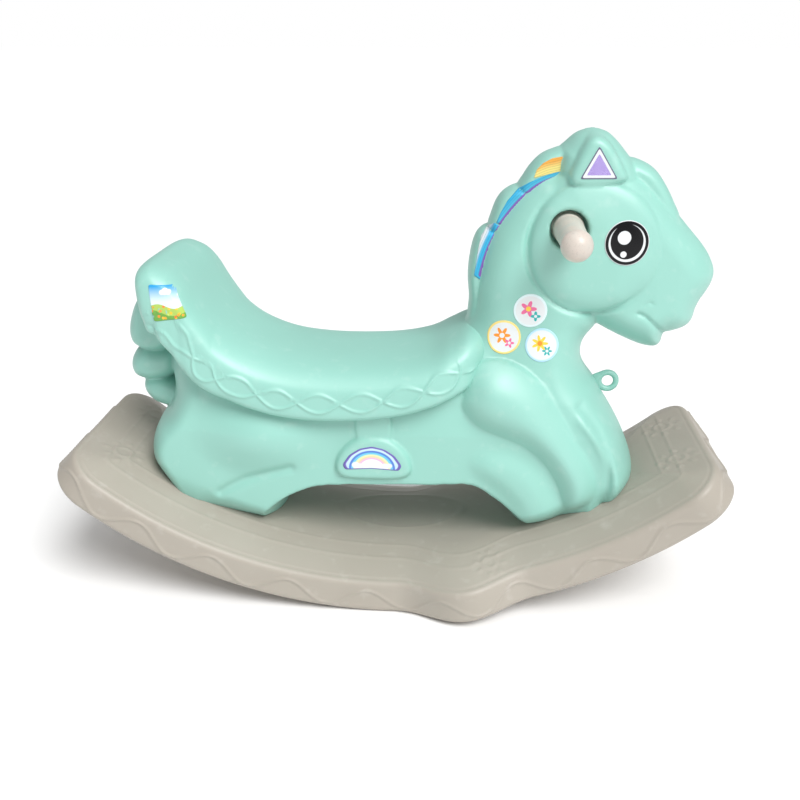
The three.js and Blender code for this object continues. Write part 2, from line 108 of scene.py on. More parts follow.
world = bpy.data.worlds.new("studio")
world.use_nodes = True
sky = world.node_tree
background = sky.nodes["Background"]
background.inputs["Color"].default_value = (1.0, 1.0, 1.0, 1.0)
AMBIENT = 0.40
seen_straight = sky.nodes.new("ShaderNodeLightPath").outputs["Is Camera Ray"]
brightness = sky.nodes.new("ShaderNodeMath")
brightness.operation = "MULTIPLY_ADD"
sky.links.new(seen_straight, brightness.inputs[0])
brightness.inputs[1].default_value = 1.0 - AMBIENT
brightness.inputs[2].default_value = AMBIENT
sky.links.new(brightness.outputs[0], background.inputs["Strength"])
bpy.context.scene.world = world
bpy.context.scene.view_settings.view_transform = "Standard"
print("panel power", PANEL_POWER, "sun strength", SUN_STRENGTH, "world as a light", AMBIENT)

# %% [markdown]
# ## Node groups that several finishes share
# Blow-moulded polyethylene is never perfectly even: the mould was sand-blasted, so the skin has a
# fine grain, and the wall's thickness makes the colour drift a little over a hand's width. Both are
# groups with named inputs, built once, which put out a height, a roughness and a colour.

# %% Helpers for shader nodes
def new_group(name, inputs, outputs):
    """An empty shader group with float or colour sockets, and its input and output nodes."""
    group = bpy.data.node_groups.new(name, "ShaderNodeTree")
    for label, kind, value in inputs:
        socket = group.interface.new_socket(label, in_out="INPUT", socket_type=kind)
        socket.default_value = value
    for label, kind in outputs:
        group.interface.new_socket(label, in_out="OUTPUT", socket_type=kind)
    return group, group.nodes.new("NodeGroupInput"), group.nodes.new("NodeGroupOutput")


def math_node(tree, operation, first, second=0.0, third=0.0, clamp=False):
    """A Math node; each term is a number or another node's output."""
    node = tree.nodes.new("ShaderNodeMath")
    node.operation = operation
    node.use_clamp = clamp
    for socket, value in zip(node.inputs, (first, second, third)):
        if isinstance(value, (int, float)):
            socket.default_value = value
        else:
            tree.links.new(value, socket)
    return node.outputs[0]


def mix_colour(tree, share, first, second, blend="MIX"):
    """A colour mix; the share is a number or an output, the colours are values or outputs."""
    node = tree.nodes.new("ShaderNodeMix")
    node.data_type = "RGBA"
    node.blend_type = blend
    for socket, value in zip((node.inputs[0], node.inputs[6], node.inputs[7]), (share, first, second)):
        if isinstance(value, (int, float, tuple)):
            socket.default_value = value
        else:
            tree.links.new(value, socket)
    return node.outputs[2]


def noise(tree, scale, detail, place):
    """Noise of `scale` waves a metre, read at the piece's own place."""
    node = tree.nodes.new("ShaderNodeTexNoise")
    node.inputs["Scale"].default_value = scale
    node.inputs["Detail"].default_value = detail
    tree.links.new(place, node.inputs["Vector"])
    return node.outputs["Fac"]


def object_place(tree):
    """Where a point is on the piece, in metres in the frame."""
    return tree.nodes.new("ShaderNodeTexCoord").outputs["Object"]


# %% The moulded skin
FLOAT, COLOUR = "NodeSocketFloat", "NodeSocketColor"


def moulded_skin_group():
    """Grain height, roughness and colour of a moulded skin.

    height = grain * fine noise + sink * broad noise; roughness = base + spread * (noise - 1/2);
    colour = base colour, lightened and darkened by the broad drift, and paler where it is scuffed."""
    group, given, out = new_group(
        "moulded_skin",
        [("Colour", COLOUR, (1, 1, 1, 1)), ("Deep Colour", COLOUR, (0, 0, 0, 1)),
         ("Roughness", FLOAT, 0.4), ("Spread", FLOAT, 0.1), ("Grain", FLOAT, 0.3), ("Sink", FLOAT, 1.0)],
        [("Colour", COLOUR), ("Roughness", FLOAT), ("Height", FLOAT)])
    place = object_place(group)
    fine = noise(group, 900.0, 3.0, place)
    broad = noise(group, 9.0, 2.0, place)
    scuff = noise(group, 60.0, 6.0, place)
    drift = math_node(group, "MULTIPLY_ADD", broad, 1.6, -0.45, clamp=True)
    rubbed = math_node(group, "MULTIPLY_ADD", scuff, 4.0, -2.35, clamp=True)
    tinted = mix_colour(group, drift, given.outputs["Deep Colour"], given.outputs["Colour"])
    faint = math_node(group, "MULTIPLY", rubbed, 0.12)
    group.links.new(mix_colour(group, faint, tinted, (0.9, 0.92, 0.9, 1.0)), out.inputs["Colour"])
    swing = math_node(group, "SUBTRACT", scuff, 0.5)
    wide = math_node(group, "MULTIPLY", swing, given.outputs["Spread"])
    group.links.new(math_node(group, "ADD", wide, given.outputs["Roughness"]), out.inputs["Roughness"])
    grain = math_node(group, "MULTIPLY", fine, given.outputs["Grain"])
    sink = math_node(group, "MULTIPLY", broad, given.outputs["Sink"])
    group.links.new(math_node(group, "ADD", grain, sink), out.inputs["Height"])
    return group


MOULDED_SKIN = moulded_skin_group()


def start_material(name, roughness=0.4):
    """A new material with its tree and Principled shader."""
    material = bpy.data.materials.new(name)
    material.use_nodes = True
    shader = material.node_tree.nodes["Principled BSDF"]
    shader.inputs["Roughness"].default_value = roughness
    return material, material.node_tree, shader


def add_bump(tree, shader, height, distance, strength=1.0):
    """Height (0 to 1) times `distance` metres, as a bump on the shader."""
    bump = tree.nodes.new("ShaderNodeBump")
    bump.inputs["Distance"].default_value = distance
    bump.inputs["Strength"].default_value = strength
    tree.links.new(height, bump.inputs["Height"])
    tree.links.new(bump.outputs["Normal"], shader.inputs["Normal"])


def moulded_plastic(name, colour, deep, roughness, grain, sink):
    """Coloured polyethylene with the shared moulded skin."""
    material, tree, shader = start_material(name)
    skin = tree.nodes.new("ShaderNodeGroup")
    skin.node_tree = MOULDED_SKIN
    skin.inputs["Colour"].default_value = (*colour, 1.0)
    skin.inputs["Deep Colour"].default_value = (*deep, 1.0)
    skin.inputs["Roughness"].default_value = roughness
    skin.inputs["Grain"].default_value = grain
    skin.inputs["Sink"].default_value = sink
    tree.links.new(skin.outputs["Colour"], shader.inputs["Base Color"])
    tree.links.new(skin.outputs["Roughness"], shader.inputs["Roughness"])
    add_bump(tree, shader, skin.outputs["Height"], 0.0006, 0.5)
    shader.inputs["Subsurface Weight"].default_value = 0.06
    shader.inputs["Subsurface Radius"].default_value = (0.004, 0.005, 0.004)
    shader.inputs["Subsurface Scale"].default_value = 1.0
    return material


MINT = moulded_plastic("mint_polyethylene", colour=(0.29, 0.59, 0.51), deep=(0.268, 0.56, 0.48),
                       roughness=0.47, grain=0.10, sink=1.2)
MINT_SHEEN = {"Specular IOR Level": 0.8, "Coat Weight": 0.35, "Coat Roughness": 0.55}
for label, amount in MINT_SHEEN.items():
    MINT.node_tree.nodes["Principled BSDF"].inputs[label].default_value = amount
WARM_GREY = moulded_plastic("warm_grey_polyethylene", colour=(0.41, 0.375, 0.325),
                            deep=(0.375, 0.34, 0.29), roughness=0.46, grain=0.14, sink=1.0)

# %% [markdown]
# ## Putting arrays into a mesh
# Every piece below is a set of points and faces. One helper puts them into a mesh, merges the
# doubled points at poles and seams, and turns the faces outward. Another numbers the faces of a
# grid, which may close on itself in either direction.

# %% Arrays to meshes
def grid_faces(rows, columns, wrap_rows=False, wrap_columns=False):
    """Four-sided faces of a grid whose point (i, j) has the number i * columns + j."""
    i, j = np.meshgrid(np.arange(rows - (not wrap_rows)), np.arange(columns - (not wrap_columns)),
                       indexing="ij")
    below, beside = (i + 1) % rows, (j + 1) % columns
    corners = [i * columns + j, below * columns + j, below * columns + beside, i * columns + beside]
    return np.stack(corners, -1).reshape(-1, 4)


def make_piece(name, points, faces, finish, body, uv=None, values=None):
    """A mesh object from points in millimetres and faces, riding on a body of the frame.

    `uv` gives each point a place in the map "flat"; `values` holds named numbers, one for each point."""
    mesh = bpy.data.meshes.new(name)
    mesh.vertices.add(len(points))
    mesh.vertices.foreach_set("co", (np.asarray(points) * MM).ravel())
    mesh.loops.add(faces.size)
    mesh.loops.foreach_set("vertex_index", faces.ravel())
    mesh.polygons.add(len(faces))
    mesh.polygons.foreach_set("loop_start", np.arange(0, faces.size, faces.shape[1]))
    mesh.update(calc_edges=True)
    if uv is not None:
        mesh.uv_layers.new(name="flat").data.foreach_set("uv", uv[faces.ravel()].ravel())
    for label, numbers in (values or {}).items():
        mesh.attributes.new(label, "FLOAT", "POINT").data.foreach_set("value", np.ravel(numbers))
    shape = bmesh.new()
    shape.from_mesh(mesh)
    bmesh.ops.remove_doubles(shape, verts=shape.verts, dist=2e-6)
    bmesh.ops.recalc_face_normals(shape, faces=shape.faces)
    shape.to_mesh(mesh)
    volume = shape.calc_volume(signed=True)
    shape.free()
    mesh.polygons.foreach_set("use_smooth", np.ones(len(mesh.polygons), bool))
    mesh.materials.append(finish)
    piece = bpy.data.objects.new(name, mesh)
    bpy.context.collection.objects.link(piece)
    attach(piece, body)
    mesh.calc_loop_triangles()
    print(f"{name}: {len(mesh.loop_triangles)} triangles, {volume * 1e6:.1f} cm3")
    return piece


# %% [markdown]
# ## The rocking tray
# The tray is a profile carried round its plan outline: up the wall, over a rounded shoulder, up the
# crown and in to a line along the middle, and the same back under the floor. It is worked out flat,
# as (along, across, height), and then rolled onto the rocking arc. A thin wavy line runs round the
# wall. On top, two contour lines follow the edge, with flower marks and an oval ring beside them.

# %% The tray's arc
ROCKER_RADIUS = 576.0
TRAY_EDGE, TRAY_CROWN, CROWN_START, CROWN_WIDTH = 39.0, 20.0, 5.0, 90.0
ARC_CENTRE = ROCKER_RADIUS


def arc_height(x, above):
    """Height over the floor, at length x, of the surface `above` the tray's underside."""
    return ARC_CENTRE - np.sqrt((ROCKER_RADIUS - above) ** 2 - x ** 2)


# %% Tray plan
TRAY_HALF_LENGTH = (TRAY_HIGH[0] - TRAY_LOW[0]) / 2
BASE_HALF_WIDTH = 135.0
FOOT_REST_X, FOOT_REST_LENGTH, FOOT_REST_BULGE = 92.0, 165.0, 30.0
PLAN_CORNER_RADIUS, EDGE_RADIUS = 47.0, 7.0
WALL_ROWS, CORNER_ROWS = 23, 8
HALF_ARC = ROCKER_RADIUS * np.arcsin(TRAY_HALF_LENGTH / ROCKER_RADIUS)
TRAY_AROUND, SIDE_STEPS, CORNER_STEPS = 860, 500, 40


def half_width(along):
    """Half width of the tray at a place along it: the side plus the foot rest's raised cosine."""
    phase = (along - FOOT_REST_X) / FOOT_REST_LENGTH
    return BASE_HALF_WIDTH + np.where(np.abs(phase) < 0.5, FOOT_REST_BULGE * np.cos(np.pi * phase) ** 2, 0)


def edge_distance(along, across):
    """Distance in from the tray's edge: a rectangle with round corners whose width is half_width."""
    over_end = np.abs(along) - (HALF_ARC - PLAN_CORNER_RADIUS)
    over_side = np.abs(across) - (half_width(along) - PLAN_CORNER_RADIUS)
    outside = np.hypot(np.maximum(over_end, 0), np.maximum(over_side, 0))
    return PLAN_CORNER_RADIUS - outside - np.minimum(np.maximum(over_end, over_side), 0)


def tray_outline():
    """The plan outline at even steps, with its outward normals: sides, corner arcs and ends."""
    straight = HALF_ARC - PLAN_CORNER_RADIUS
    along = np.linspace(straight, -straight, SIDE_STEPS)
    turn = np.linspace(0, np.pi / 2, CORNER_STEPS)
    side = np.stack([along, half_width(along)], -1)
    corner = np.array([straight, BASE_HALF_WIDTH - PLAN_CORNER_RADIUS])
    arc = corner + PLAN_CORNER_RADIUS * np.stack([np.cos(turn), np.sin(turn)], -1)
    far_arc = arc[::-1] * [-1, 1]
    upper = np.concatenate([arc, side[1:-1], far_arc])
    loop = np.concatenate([upper, upper[::-1] * [1, -1]])
    closed = np.concatenate([loop, loop[:1]])
    run = np.concatenate([[0], np.cumsum(np.hypot(*np.diff(closed, axis=0).T))])
    even = np.linspace(0, run[-1], TRAY_AROUND, endpoint=False)
    points = np.stack([np.interp(even, run, column) for column in closed.T], -1)
    tangent = np.roll(points, -1, 0) - np.roll(points, 1, 0)
    normal = np.stack([tangent[:, 1], -tangent[:, 0]], -1)
    normal /= np.linalg.norm(normal, axis=-1, keepdims=True)
    return points, normal, even, run[-1]


# %% Tray surface
WAVE_COUNT, WAVE_MIDDLE, WAVE_SWING, WAVE_SHIFT = 23, 17.0, 10.5, 0.25
RIB_HEIGHT, RIB_WIDTH = 1.7, 1.7
CONTOUR_INSETS, CONTOUR_HEIGHT, CONTOUR_WIDTH = (38.0, 60.0), 0.6, 1.9
# The middle line ends SPINE_INSET short of the tray's ends.
SPINE_INSET, FLOOR_ROWS = 120, 6
# The crown's rows are closer together over its outer share than near the middle line.
OUTER_SHARE, OUTER_ROWS, INNER_ROWS = 0.62, 46, 22

# Each flower mark: place along the tray, place across it, size.
FLOWER_MARKS = ((128, 120, 1.0), (-378, 64, 1.3), (392, 50, 1.3))
OVAL_MARK_CENTRE, OVAL_MARK_HALF = (11.0, 12.0), (83.0, 47.0)
MARK_HEIGHT, MARK_WIDTH, OVAL_WIDTH = 1.0, 1.9, 1.6 * 1.9
PETALS, HEART_RADIUS, PETAL_RADIUS, PETAL_WIDTH = 8, 8, 17, 3.4


def flower_mark(along, across, place, size):
    """Relief of a flower: a ring round its heart, and petals where cos(PETALS * angle) is high."""
    run, side = (along - place[0]) / size, (np.abs(across) - place[1]) / size
    radius, angle = np.hypot(run, side), np.arctan2(side, run)
    ring = np.exp(-((radius - HEART_RADIUS) / MARK_WIDTH) ** 2)
    petals = np.exp(-((radius - PETAL_RADIUS) / PETAL_WIDTH) ** 2) * np.clip(np.cos(PETALS * angle), 0, 1)
    return MARK_HEIGHT * np.maximum(ring, petals)


def oval_mark(along, across):
    """Relief of an oval ring under the belly."""
    run = (along - OVAL_MARK_CENTRE[0]) / OVAL_MARK_HALF[0]
    side = (across - OVAL_MARK_CENTRE[1]) / OVAL_MARK_HALF[1]
    gap = (np.hypot(run, side) - 1) * OVAL_MARK_HALF[1]
    return MARK_HEIGHT * np.exp(-(gap / OVAL_WIDTH) ** 2)


def crown_height(along, across):
    """Height of the tray's top: edge height plus a quarter sine that levels out past CROWN_WIDTH,
    plus the contour lines and the marks."""
    inset = edge_distance(along, across)
    share = np.clip((inset - CROWN_START) / (CROWN_WIDTH - CROWN_START), 0, 1)
    lines = sum(np.exp(-((inset - line) / CONTOUR_WIDTH) ** 2) for line in CONTOUR_INSETS)
    flowers = sum(flower_mark(along, across, mark[:2], mark[2]) for mark in FLOWER_MARKS)
    marks = oval_mark(along, across) + flowers
    return TRAY_EDGE + TRAY_CROWN * np.sin(np.pi / 2 * share) + CONTOUR_HEIGHT * lines + marks


def roll(along, across, height):
    """Rolls flat tray places onto the rocking arc."""
    angle = along / ROCKER_RADIUS
    radius = ROCKER_RADIUS - height
    return np.stack([radius * np.sin(angle), across, ARC_CENTRE - radius * np.cos(angle)], -1)


def tray_grid():
    """Rings round the outline: bottom, rounded foot, wall, shoulder, crown, middle line."""
    outline, normal, even, around = tray_outline()
    spine_half = HALF_ARC - SPINE_INSET
    medial = np.stack([np.clip(outline[:, 0], -spine_half, spine_half), 0 * outline[:, 1]], -1)
    quarter = np.linspace(0, np.pi / 2, CORNER_ROWS)
    inset = [EDGE_RADIUS * (1 - np.sin(quarter)), np.zeros(WALL_ROWS - 2),
             EDGE_RADIUS * (1 - np.cos(quarter))]
    height = [EDGE_RADIUS * (1 - np.cos(quarter)),
              np.linspace(EDGE_RADIUS, TRAY_EDGE - EDGE_RADIUS, WALL_ROWS)[1:-1],
              TRAY_EDGE - EDGE_RADIUS * (1 - np.sin(quarter))]
    inset, height = np.concatenate(inset), np.concatenate(height)
    wave = WAVE_MIDDLE + WAVE_SWING * np.sin(2 * np.pi * (WAVE_COUNT * even / around + WAVE_SHIFT))
    rib = RIB_HEIGHT * np.exp(-((height[:, None] - wave[None, :]) / RIB_WIDTH) ** 2)
    flat = outline[None] - normal[None] * (inset[:, None] - rib)[..., None]
    edge_rings = np.concatenate([flat, np.broadcast_to(height[:, None, None], (*flat.shape[:2], 1))], -1)
    outer = np.linspace(0, OUTER_SHARE, OUTER_ROWS)[1:]
    inner = np.linspace(OUTER_SHARE, 1, INNER_ROWS)[1:]
    share = np.concatenate([outer, inner])[:, None, None]
    top = flat[-1] + (medial - flat[-1]) * share
    rise = crown_height(top[..., 0], top[..., 1])
    top_rings = np.concatenate([top, rise[..., None]], -1)
    low_share = np.linspace(1, 0, FLOOR_ROWS)[:-1, None, None]
    low = flat[0] + (medial - flat[0]) * low_share
    low_rings = np.concatenate([low, np.zeros((*low.shape[:2], 1))], -1)
    rings = np.concatenate([low_rings, edge_rings, top_rings])
    return roll(rings[..., 0], rings[..., 1], rings[..., 2])


tray_points = tray_grid()
tray_faces = grid_faces(len(tray_points), TRAY_AROUND, wrap_columns=True)
tray = make_piece("rocking_tray", tray_points.reshape(-1, 3), tray_faces, WARM_GREY, "toy")
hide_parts("rocker_base")

# %% [markdown]
# ## The horse's side view as a relief map
# The horse is blown in a two-part mould that opens sideways, so no part of its skin hides behind
# another when seen from the side. Its whole shape is therefore one map: for each place (x, z) of
# the side view, the square of the half width. A pillow over an outline has the half width
# `half * sqrt(1 - ((rim - depth) / rim)^2)`, where depth is the distance inside the outline: it
# leaves the parting plane at a right angle and is flat past the rim. The square stays smooth at
# the outline, which is why the map holds squares. Raised pads, creases and recesses are the same
# idea with a starting height. A sculpting brush could do this, but a map can be read and changed.

# %% The map's lattice and outlines
MAP_PITCH = 1.6
MAP_X = np.arange(HORSE_LOW[0] - 20, HORSE_HIGH[0] + 20, MAP_PITCH)
MAP_Z = np.arange(HORSE_LOW[2] - 30, HORSE_HIGH[2] + 20, MAP_PITCH)
SIDE_X, SIDE_Z = np.meshgrid(MAP_X, MAP_Z, indexing="ij")


def smooth_line(marks, steps, closed=True):
    """Catmull-Rom curve through the marks, `steps` points for each.

    Between P1 and P2 it is half of
    2 P1 + (P2 - P0) t + (2 P0 - 5 P1 + 4 P2 - P3) t^2 + (3 P1 - P0 - 3 P2 + P3) t^3."""
    p1 = np.array(marks, float)
    if closed:
        p0, p2, p3 = (np.roll(p1, shift, 0) for shift in (1, -1, -2))
    else:
        padded = np.concatenate([2 * p1[:1] - p1[1:2], p1, 2 * p1[-1:] - p1[-2:-1]])
        p0, p1, p2, p3 = padded[:-3], padded[1:-2], padded[2:-1], padded[3:]
    t = (np.arange(steps) / steps)[None, :, None]
    p0, p1, p2, p3 = (p[:, None, :] for p in (p0, p1, p2, p3))
    curve = 0.5 * (2 * p1 + (p2 - p0) * t + (2 * p0 - 5 * p1 + 4 * p2 - p3) * t ** 2
                   + (3 * p1 - p0 - 3 * p2 + p3) * t ** 3)
    flat = curve.reshape(-1, curve.shape[-1])
    return flat if closed else np.concatenate([flat, np.array(marks[-1:], float)])


def line_distance(line, x, z, closed=False):
    """Distance of each place from a line, and whether it is inside it (for a closed line)."""
    ends = np.roll(line, -1, 0) if closed else line[1:]
    nearest = np.full(x.shape, np.inf)
    inside = np.zeros(x.shape, bool)
    for (ax, az), (bx, bz) in zip(line, ends):
        run, rise = bx - ax, bz - az
        share = np.clip(((x - ax) * run + (z - az) * rise) / (run * run + rise * rise + 1e-9), 0, 1)
        nearest = np.minimum(nearest, (x - ax - share * run) ** 2 + (z - az - share * rise) ** 2)
        crosses = ((az > z) != (bz > z)) & (x < ax + run * (z - az) / (rise + 1e-9))
        inside ^= crosses
    return np.sqrt(nearest), inside


def depth_inside(marks, steps=6):
    """Signed distance inside the smooth closed outline through the marks."""
    distance, inside = line_distance(smooth_line(marks, steps), SIDE_X, SIDE_Z, closed=True)
    return np.where(inside, distance, -distance)


def blur(table, radius):
    """Gaussian blur of a map, `radius` millimetres, one direction after the other."""
    reach = int(np.ceil(2.5 * radius / MAP_PITCH))
    taps = np.arange(-reach, reach + 1)
    weights = np.exp(-0.5 * (taps * MAP_PITCH / radius) ** 2)
    weights /= weights.sum()
    for axis in (0, 1):
        widened = np.pad(table, [(reach, reach) if a == axis else (0, 0) for a in (0, 1)], mode="edge")
        length = table.shape[axis]
        table = sum(w * np.take(widened, np.arange(k, k + length), axis) for k, w in enumerate(weights))
    return table


def pillow(depth, half, rim):
    """Squared half width of a pillow: half^2 (1 - ((rim - depth) / rim)^2), flat past the rim."""
    fall = np.maximum(rim - depth, 0) / rim
    return half ** 2 * (1 - fall ** 2)


PAD_CLIFF = 9.0


def pad(depth, low, high, rim):
    """Squared half width of a pad that rises from `low` at its outline to `high` past its rim."""
    fall = np.clip((rim - depth) / rim, 0, 1)
    height = low + (high - low) * np.sqrt(1 - fall ** 2) + PAD_CLIFF * np.minimum(depth, 0)
    return np.sign(height) * height ** 2


def dome(depth, low, high, rim):
    """Squared half width of a rounder pad: low + (high - low) (1 - (1 - depth / rim)^2)."""
    fall = np.clip((rim - depth) / rim, 0, 1)
    height = low + (high - low) * (1 - fall ** 2) + PAD_CLIFF * np.minimum(depth, 0)
    return np.sign(height) * height ** 2


def join(first, second, blend):
    """The larger of two squared widths, rounded over `blend` millimetres where they meet."""
    k = 2 * blend * np.sqrt(np.maximum(np.maximum(first, second), 400))
    return np.maximum(first, second) + np.maximum(k - np.abs(first - second), 0) ** 2 / (4 * k)


def add_lump(table, marks, half, rim, softness, blend):
    """The table joined with a pillow over an outline, whose depth is blurred by `softness`."""
    return join(table, pillow(blur(depth_inside(marks), softness), half, rim), blend)


def swell(table, depth, rise, rim, softness):
    """A soft bulge: the half width grows by rise * (3 t^2 - 2 t^3), t the blurred share of the rim."""
    share = blur(np.clip(depth / rim, 0, 1), softness)
    height = np.sqrt(np.maximum(table, 0)) + rise * share ** 2 * (3 - 2 * share)
    return np.where(table > 0, height ** 2, table)


def carve(table, distance, depth, width):
    """A crease of a given depth and width along a line, cut into a squared width."""
    height = np.sqrt(np.maximum(table, 0))
    cut = height - depth * np.exp(-(distance / width) ** 2)
    return np.where(table > 0, np.maximum(cut, 0) ** 2, table)


# %% [markdown]
# ### Trunk, neck and head
# The trunk and neck are one pillow that gets narrower upward, from the rider's knees to the poll.
# The head is a second one that narrows to the muzzle. The arch under the belly is the same pillow
# rule turned inside out, with a small rim, because the mould has a tight edge there.

# %% Trunk, neck and head
HOOF_BITE = 3.0
TRUNK = [(-246, 326), (-260, 300), (-264, 262), (-262, 240), (-268, 216), (-282, 197), (-291, 176),
         (-291, 154), (-282, 135), (-271, 110), (-266, 50), (-100, 44), (120, 44), (260, 50), (266, 96),
         (276, 112), (286, 132), (283, 158), (272, 186), (259, 210), (247, 229), (236, 248), (225, 262),
         (218, 276), (217, 290), (221, 303), (236, 326), (238, 380), (215, 440), (185, 492), (164, 489),
         (150, 479), (135, 465), (121, 447), (110, 430), (102, 412), (96, 390), (91, 360), (86, 325),
         (60, 280), (10, 262), (-60, 258), (-140, 266), (-195, 292), (-222, 322)]
TRUNK_HALF = ([60, 200, 240, 280, 320, 380, 440, 500], [82, 84, 79, 69, 61, 57, 54, 46])
TRUNK_RIM = ([60, 190, 240], [27, 28, 40])
ARCH = [(-141, 40), (-142, 82), (-133, 103), (-115, 121), (-92, 133), (-60, 137), (0, 139), (55, 140.5),
        (88, 142), (106, 136), (121, 124), (134, 107), (148, 82), (150, 40)]
ARCH_HALF = 106
ARCH_RIM = ([96, 128], [48, 17])
ARCH_SHRINK = 7.0
HEAD = [(232, 317), (247, 309), (266, 300), (284, 293), (300, 291), (308, 297), (310, 307), (317, 309),
        (332, 314), (341, 323), (344, 336), (348, 346), (353, 354), (359, 366), (361, 379), (356, 393),
        (346, 408), (329, 427), (312, 446), (292, 467), (272, 486), (248, 500), (215, 506), (185, 498),
        (163, 480), (148, 450), (143, 420), (152, 385), (172, 352), (200, 332)]
HEAD_HALF = ([150, 200, 260, 290, 315, 335, 356], [50, 53, 54, 52, 48, 43, 37])
HEAD_RIM = 34

trunk_half = np.interp(SIDE_Z, *TRUNK_HALF)
relief = pillow(blur(depth_inside(TRUNK), radius=4), trunk_half, np.interp(SIDE_Z, *TRUNK_RIM))
head_half = np.interp(SIDE_X, *HEAD_HALF)
relief = add_lump(relief, HEAD, head_half, HEAD_RIM, softness=2.5, blend=5)
print("trunk and head:", relief.shape, "half width up to", round(float(np.sqrt(relief.max())), 1))

# %% [markdown]
# ### Mane, forelock and tail
# Three scalloped locks run down the back of the neck, one lies on the forehead, and three more
# hang behind as the tail. Each is a narrow pillow of its own, and the larger of two neighbours is
# kept with hardly any rounding, so that the notches between locks stay sharp.

# %% Mane, forelock and tail
MANE_LOCKS = [
    [(86, 318), (86, 345), (84, 370), (86, 395), (91, 415), (99, 425), (109, 428), (126, 424), (122, 380),
     (106, 330)],
    [(106, 424), (109, 442), (115, 457), (124, 467), (138, 473), (152, 467), (142, 430), (124, 412)],
    [(136, 468), (143, 483), (151, 495), (161, 505), (173, 511), (188, 514), (200, 500), (180, 478),
     (152, 458)],
]
MANE_HALF, MANE_RIM = 30, 9
POLL = [(180, 509), (188, 519), (200, 529), (214, 533), (230, 531), (241, 523), (251, 512), (262, 497),
        (266, 476), (222, 458), (180, 480)]
POLL_HALF, POLL_RIM = 46, 18
FORELOCK = [(246, 498), (259, 503), (277, 497), (289, 488), (300, 473), (310, 455), (317, 438), (300, 436),
            (268, 462)]
FORELOCK_HALF, FORELOCK_RIM = 30, 12
TAIL_LOCKS = [
    [(-292, 347), (-306, 333), (-315, 308), (-315, 290), (-307, 279), (-282, 272), (-256, 290),
     (-258, 338), (-276, 352)],
    [(-303, 281), (-314, 269), (-317, 255), (-310, 242), (-286, 237), (-258, 250), (-258, 278),
     (-284, 282)],
    [(-299, 243), (-304, 230), (-297, 216), (-284, 207), (-260, 204), (-252, 232), (-278, 246)],
]
TAIL_HALF, TAIL_RIM = 34, 17
NOTCH_BLEND = 0.6
NOTHING = -1e4  # a squared half width well below zero: there is no skin here

relief = add_lump(relief, POLL, POLL_HALF, POLL_RIM, softness=2, blend=3)
relief = add_lump(relief, FORELOCK, FORELOCK_HALF, FORELOCK_RIM, softness=2, blend=2)
mane_relief = np.full(SIDE_X.shape, NOTHING)
for lock in MANE_LOCKS:
    mane_relief = add_lump(mane_relief, lock, MANE_HALF, MANE_RIM, softness=1.5, blend=NOTCH_BLEND)
relief = join(relief, mane_relief, NOTCH_BLEND)
for lock in TAIL_LOCKS:
    relief = add_lump(relief, lock, TAIL_HALF, TAIL_RIM, softness=2, blend=NOTCH_BLEND)
print("with locks: half width up to", round(float(np.sqrt(relief.max())), 1))

# %% [markdown]
# ### Raised pads
# Haunch, thigh, knee, chest roll, cheek, ear and the boss on the flank all stand proud of the skin.
# A pad starts below the skin at its outline and rises to its full height past its rim: where it
# starts deep it leaves a crisp crease, and where it starts near the skin it fades in. The thigh is
# a dome, a pad that rises as a parabola and so has no flat top. Haunch, knee, chest roll and
# withers are swells, which add a soft rise to whatever lies under them and leave no crease.

# %% Raised pads
HAUNCH_CENTRE, HAUNCH_HALF, HAUNCH_REACH = (-150, 196), (86, 60), 60
THIGH = [(75, 240), (82, 268), (94, 283), (113, 289), (139, 284), (167, 265), (194, 235), (218, 201),
         (236, 172), (244, 145), (238, 120), (218, 104), (200, 104), (191, 120), (184, 141), (169, 165),
         (147, 184), (124, 194), (101, 204), (85, 218)]
KNEE = [(84, 172), (92, 150), (108, 136), (124, 122), (137, 104), (150, 70), (206, 60), (204, 112),
        (190, 142), (170, 168), (140, 186), (106, 190)]
WITHERS = [(46, 236), (52, 300), (76, 330), (98, 326), (114, 300), (122, 262), (100, 236)]
CHEST_ROLL = [(214, 232), (236, 216), (254, 190), (268, 160), (274, 132), (266, 100), (248, 96),
              (240, 128), (240, 160), (226, 192), (206, 218)]
FLANK_BOSS = [(-64, 162), (-60, 151), (-48, 146), (-20, 145), (8, 146), (22, 151), (26, 162), (20, 180),
              (3, 196), (-19, 201), (-41, 196), (-58, 180)]
STRAP = [(-37, 190), (-36, 236), (-1, 236), (0, 190)]

haunch_share = np.hypot((SIDE_X - HAUNCH_CENTRE[0]) / HAUNCH_HALF[0],
                        (SIDE_Z - HAUNCH_CENTRE[1]) / HAUNCH_HALF[1])
haunch_depth = HAUNCH_REACH * (1 - haunch_share)
relief = swell(relief, haunch_depth, rise=15, rim=HAUNCH_REACH, softness=3)
relief = swell(relief, depth_inside(KNEE), rise=7, rim=30, softness=5)
relief = swell(relief, depth_inside(CHEST_ROLL), rise=9, rim=18, softness=3.5)
relief = swell(relief, depth_inside(WITHERS), rise=6, rim=24, softness=7)
softer_right = np.interp(SIDE_X + 0.7 * SIDE_Z, [290, 350], [1.0, 2])
thigh = dome(blur(depth_inside(THIGH), radius=4), low=75, high=102, rim=44)
relief = join(relief, thigh, softer_right)
relief = join(relief, pad(depth_inside(STRAP), low=78, high=87, rim=5), blend=1.5)
relief = join(relief, pad(depth_inside(FLANK_BOSS), low=80, high=91, rim=8), blend=1)

# %% Cheek and ear
CHEEK_CENTRE, CHEEK_RADIUS, CHEEK_CREASE = (219, 411), 72, 4.5
EAR = [(192, 478), (189, 487), (194, 502), (201, 517), (209, 527), (219, 529), (230, 522), (240, 508),
       (248, 494), (251, 486), (245, 481), (233, 477), (218, 475), (202, 475)]

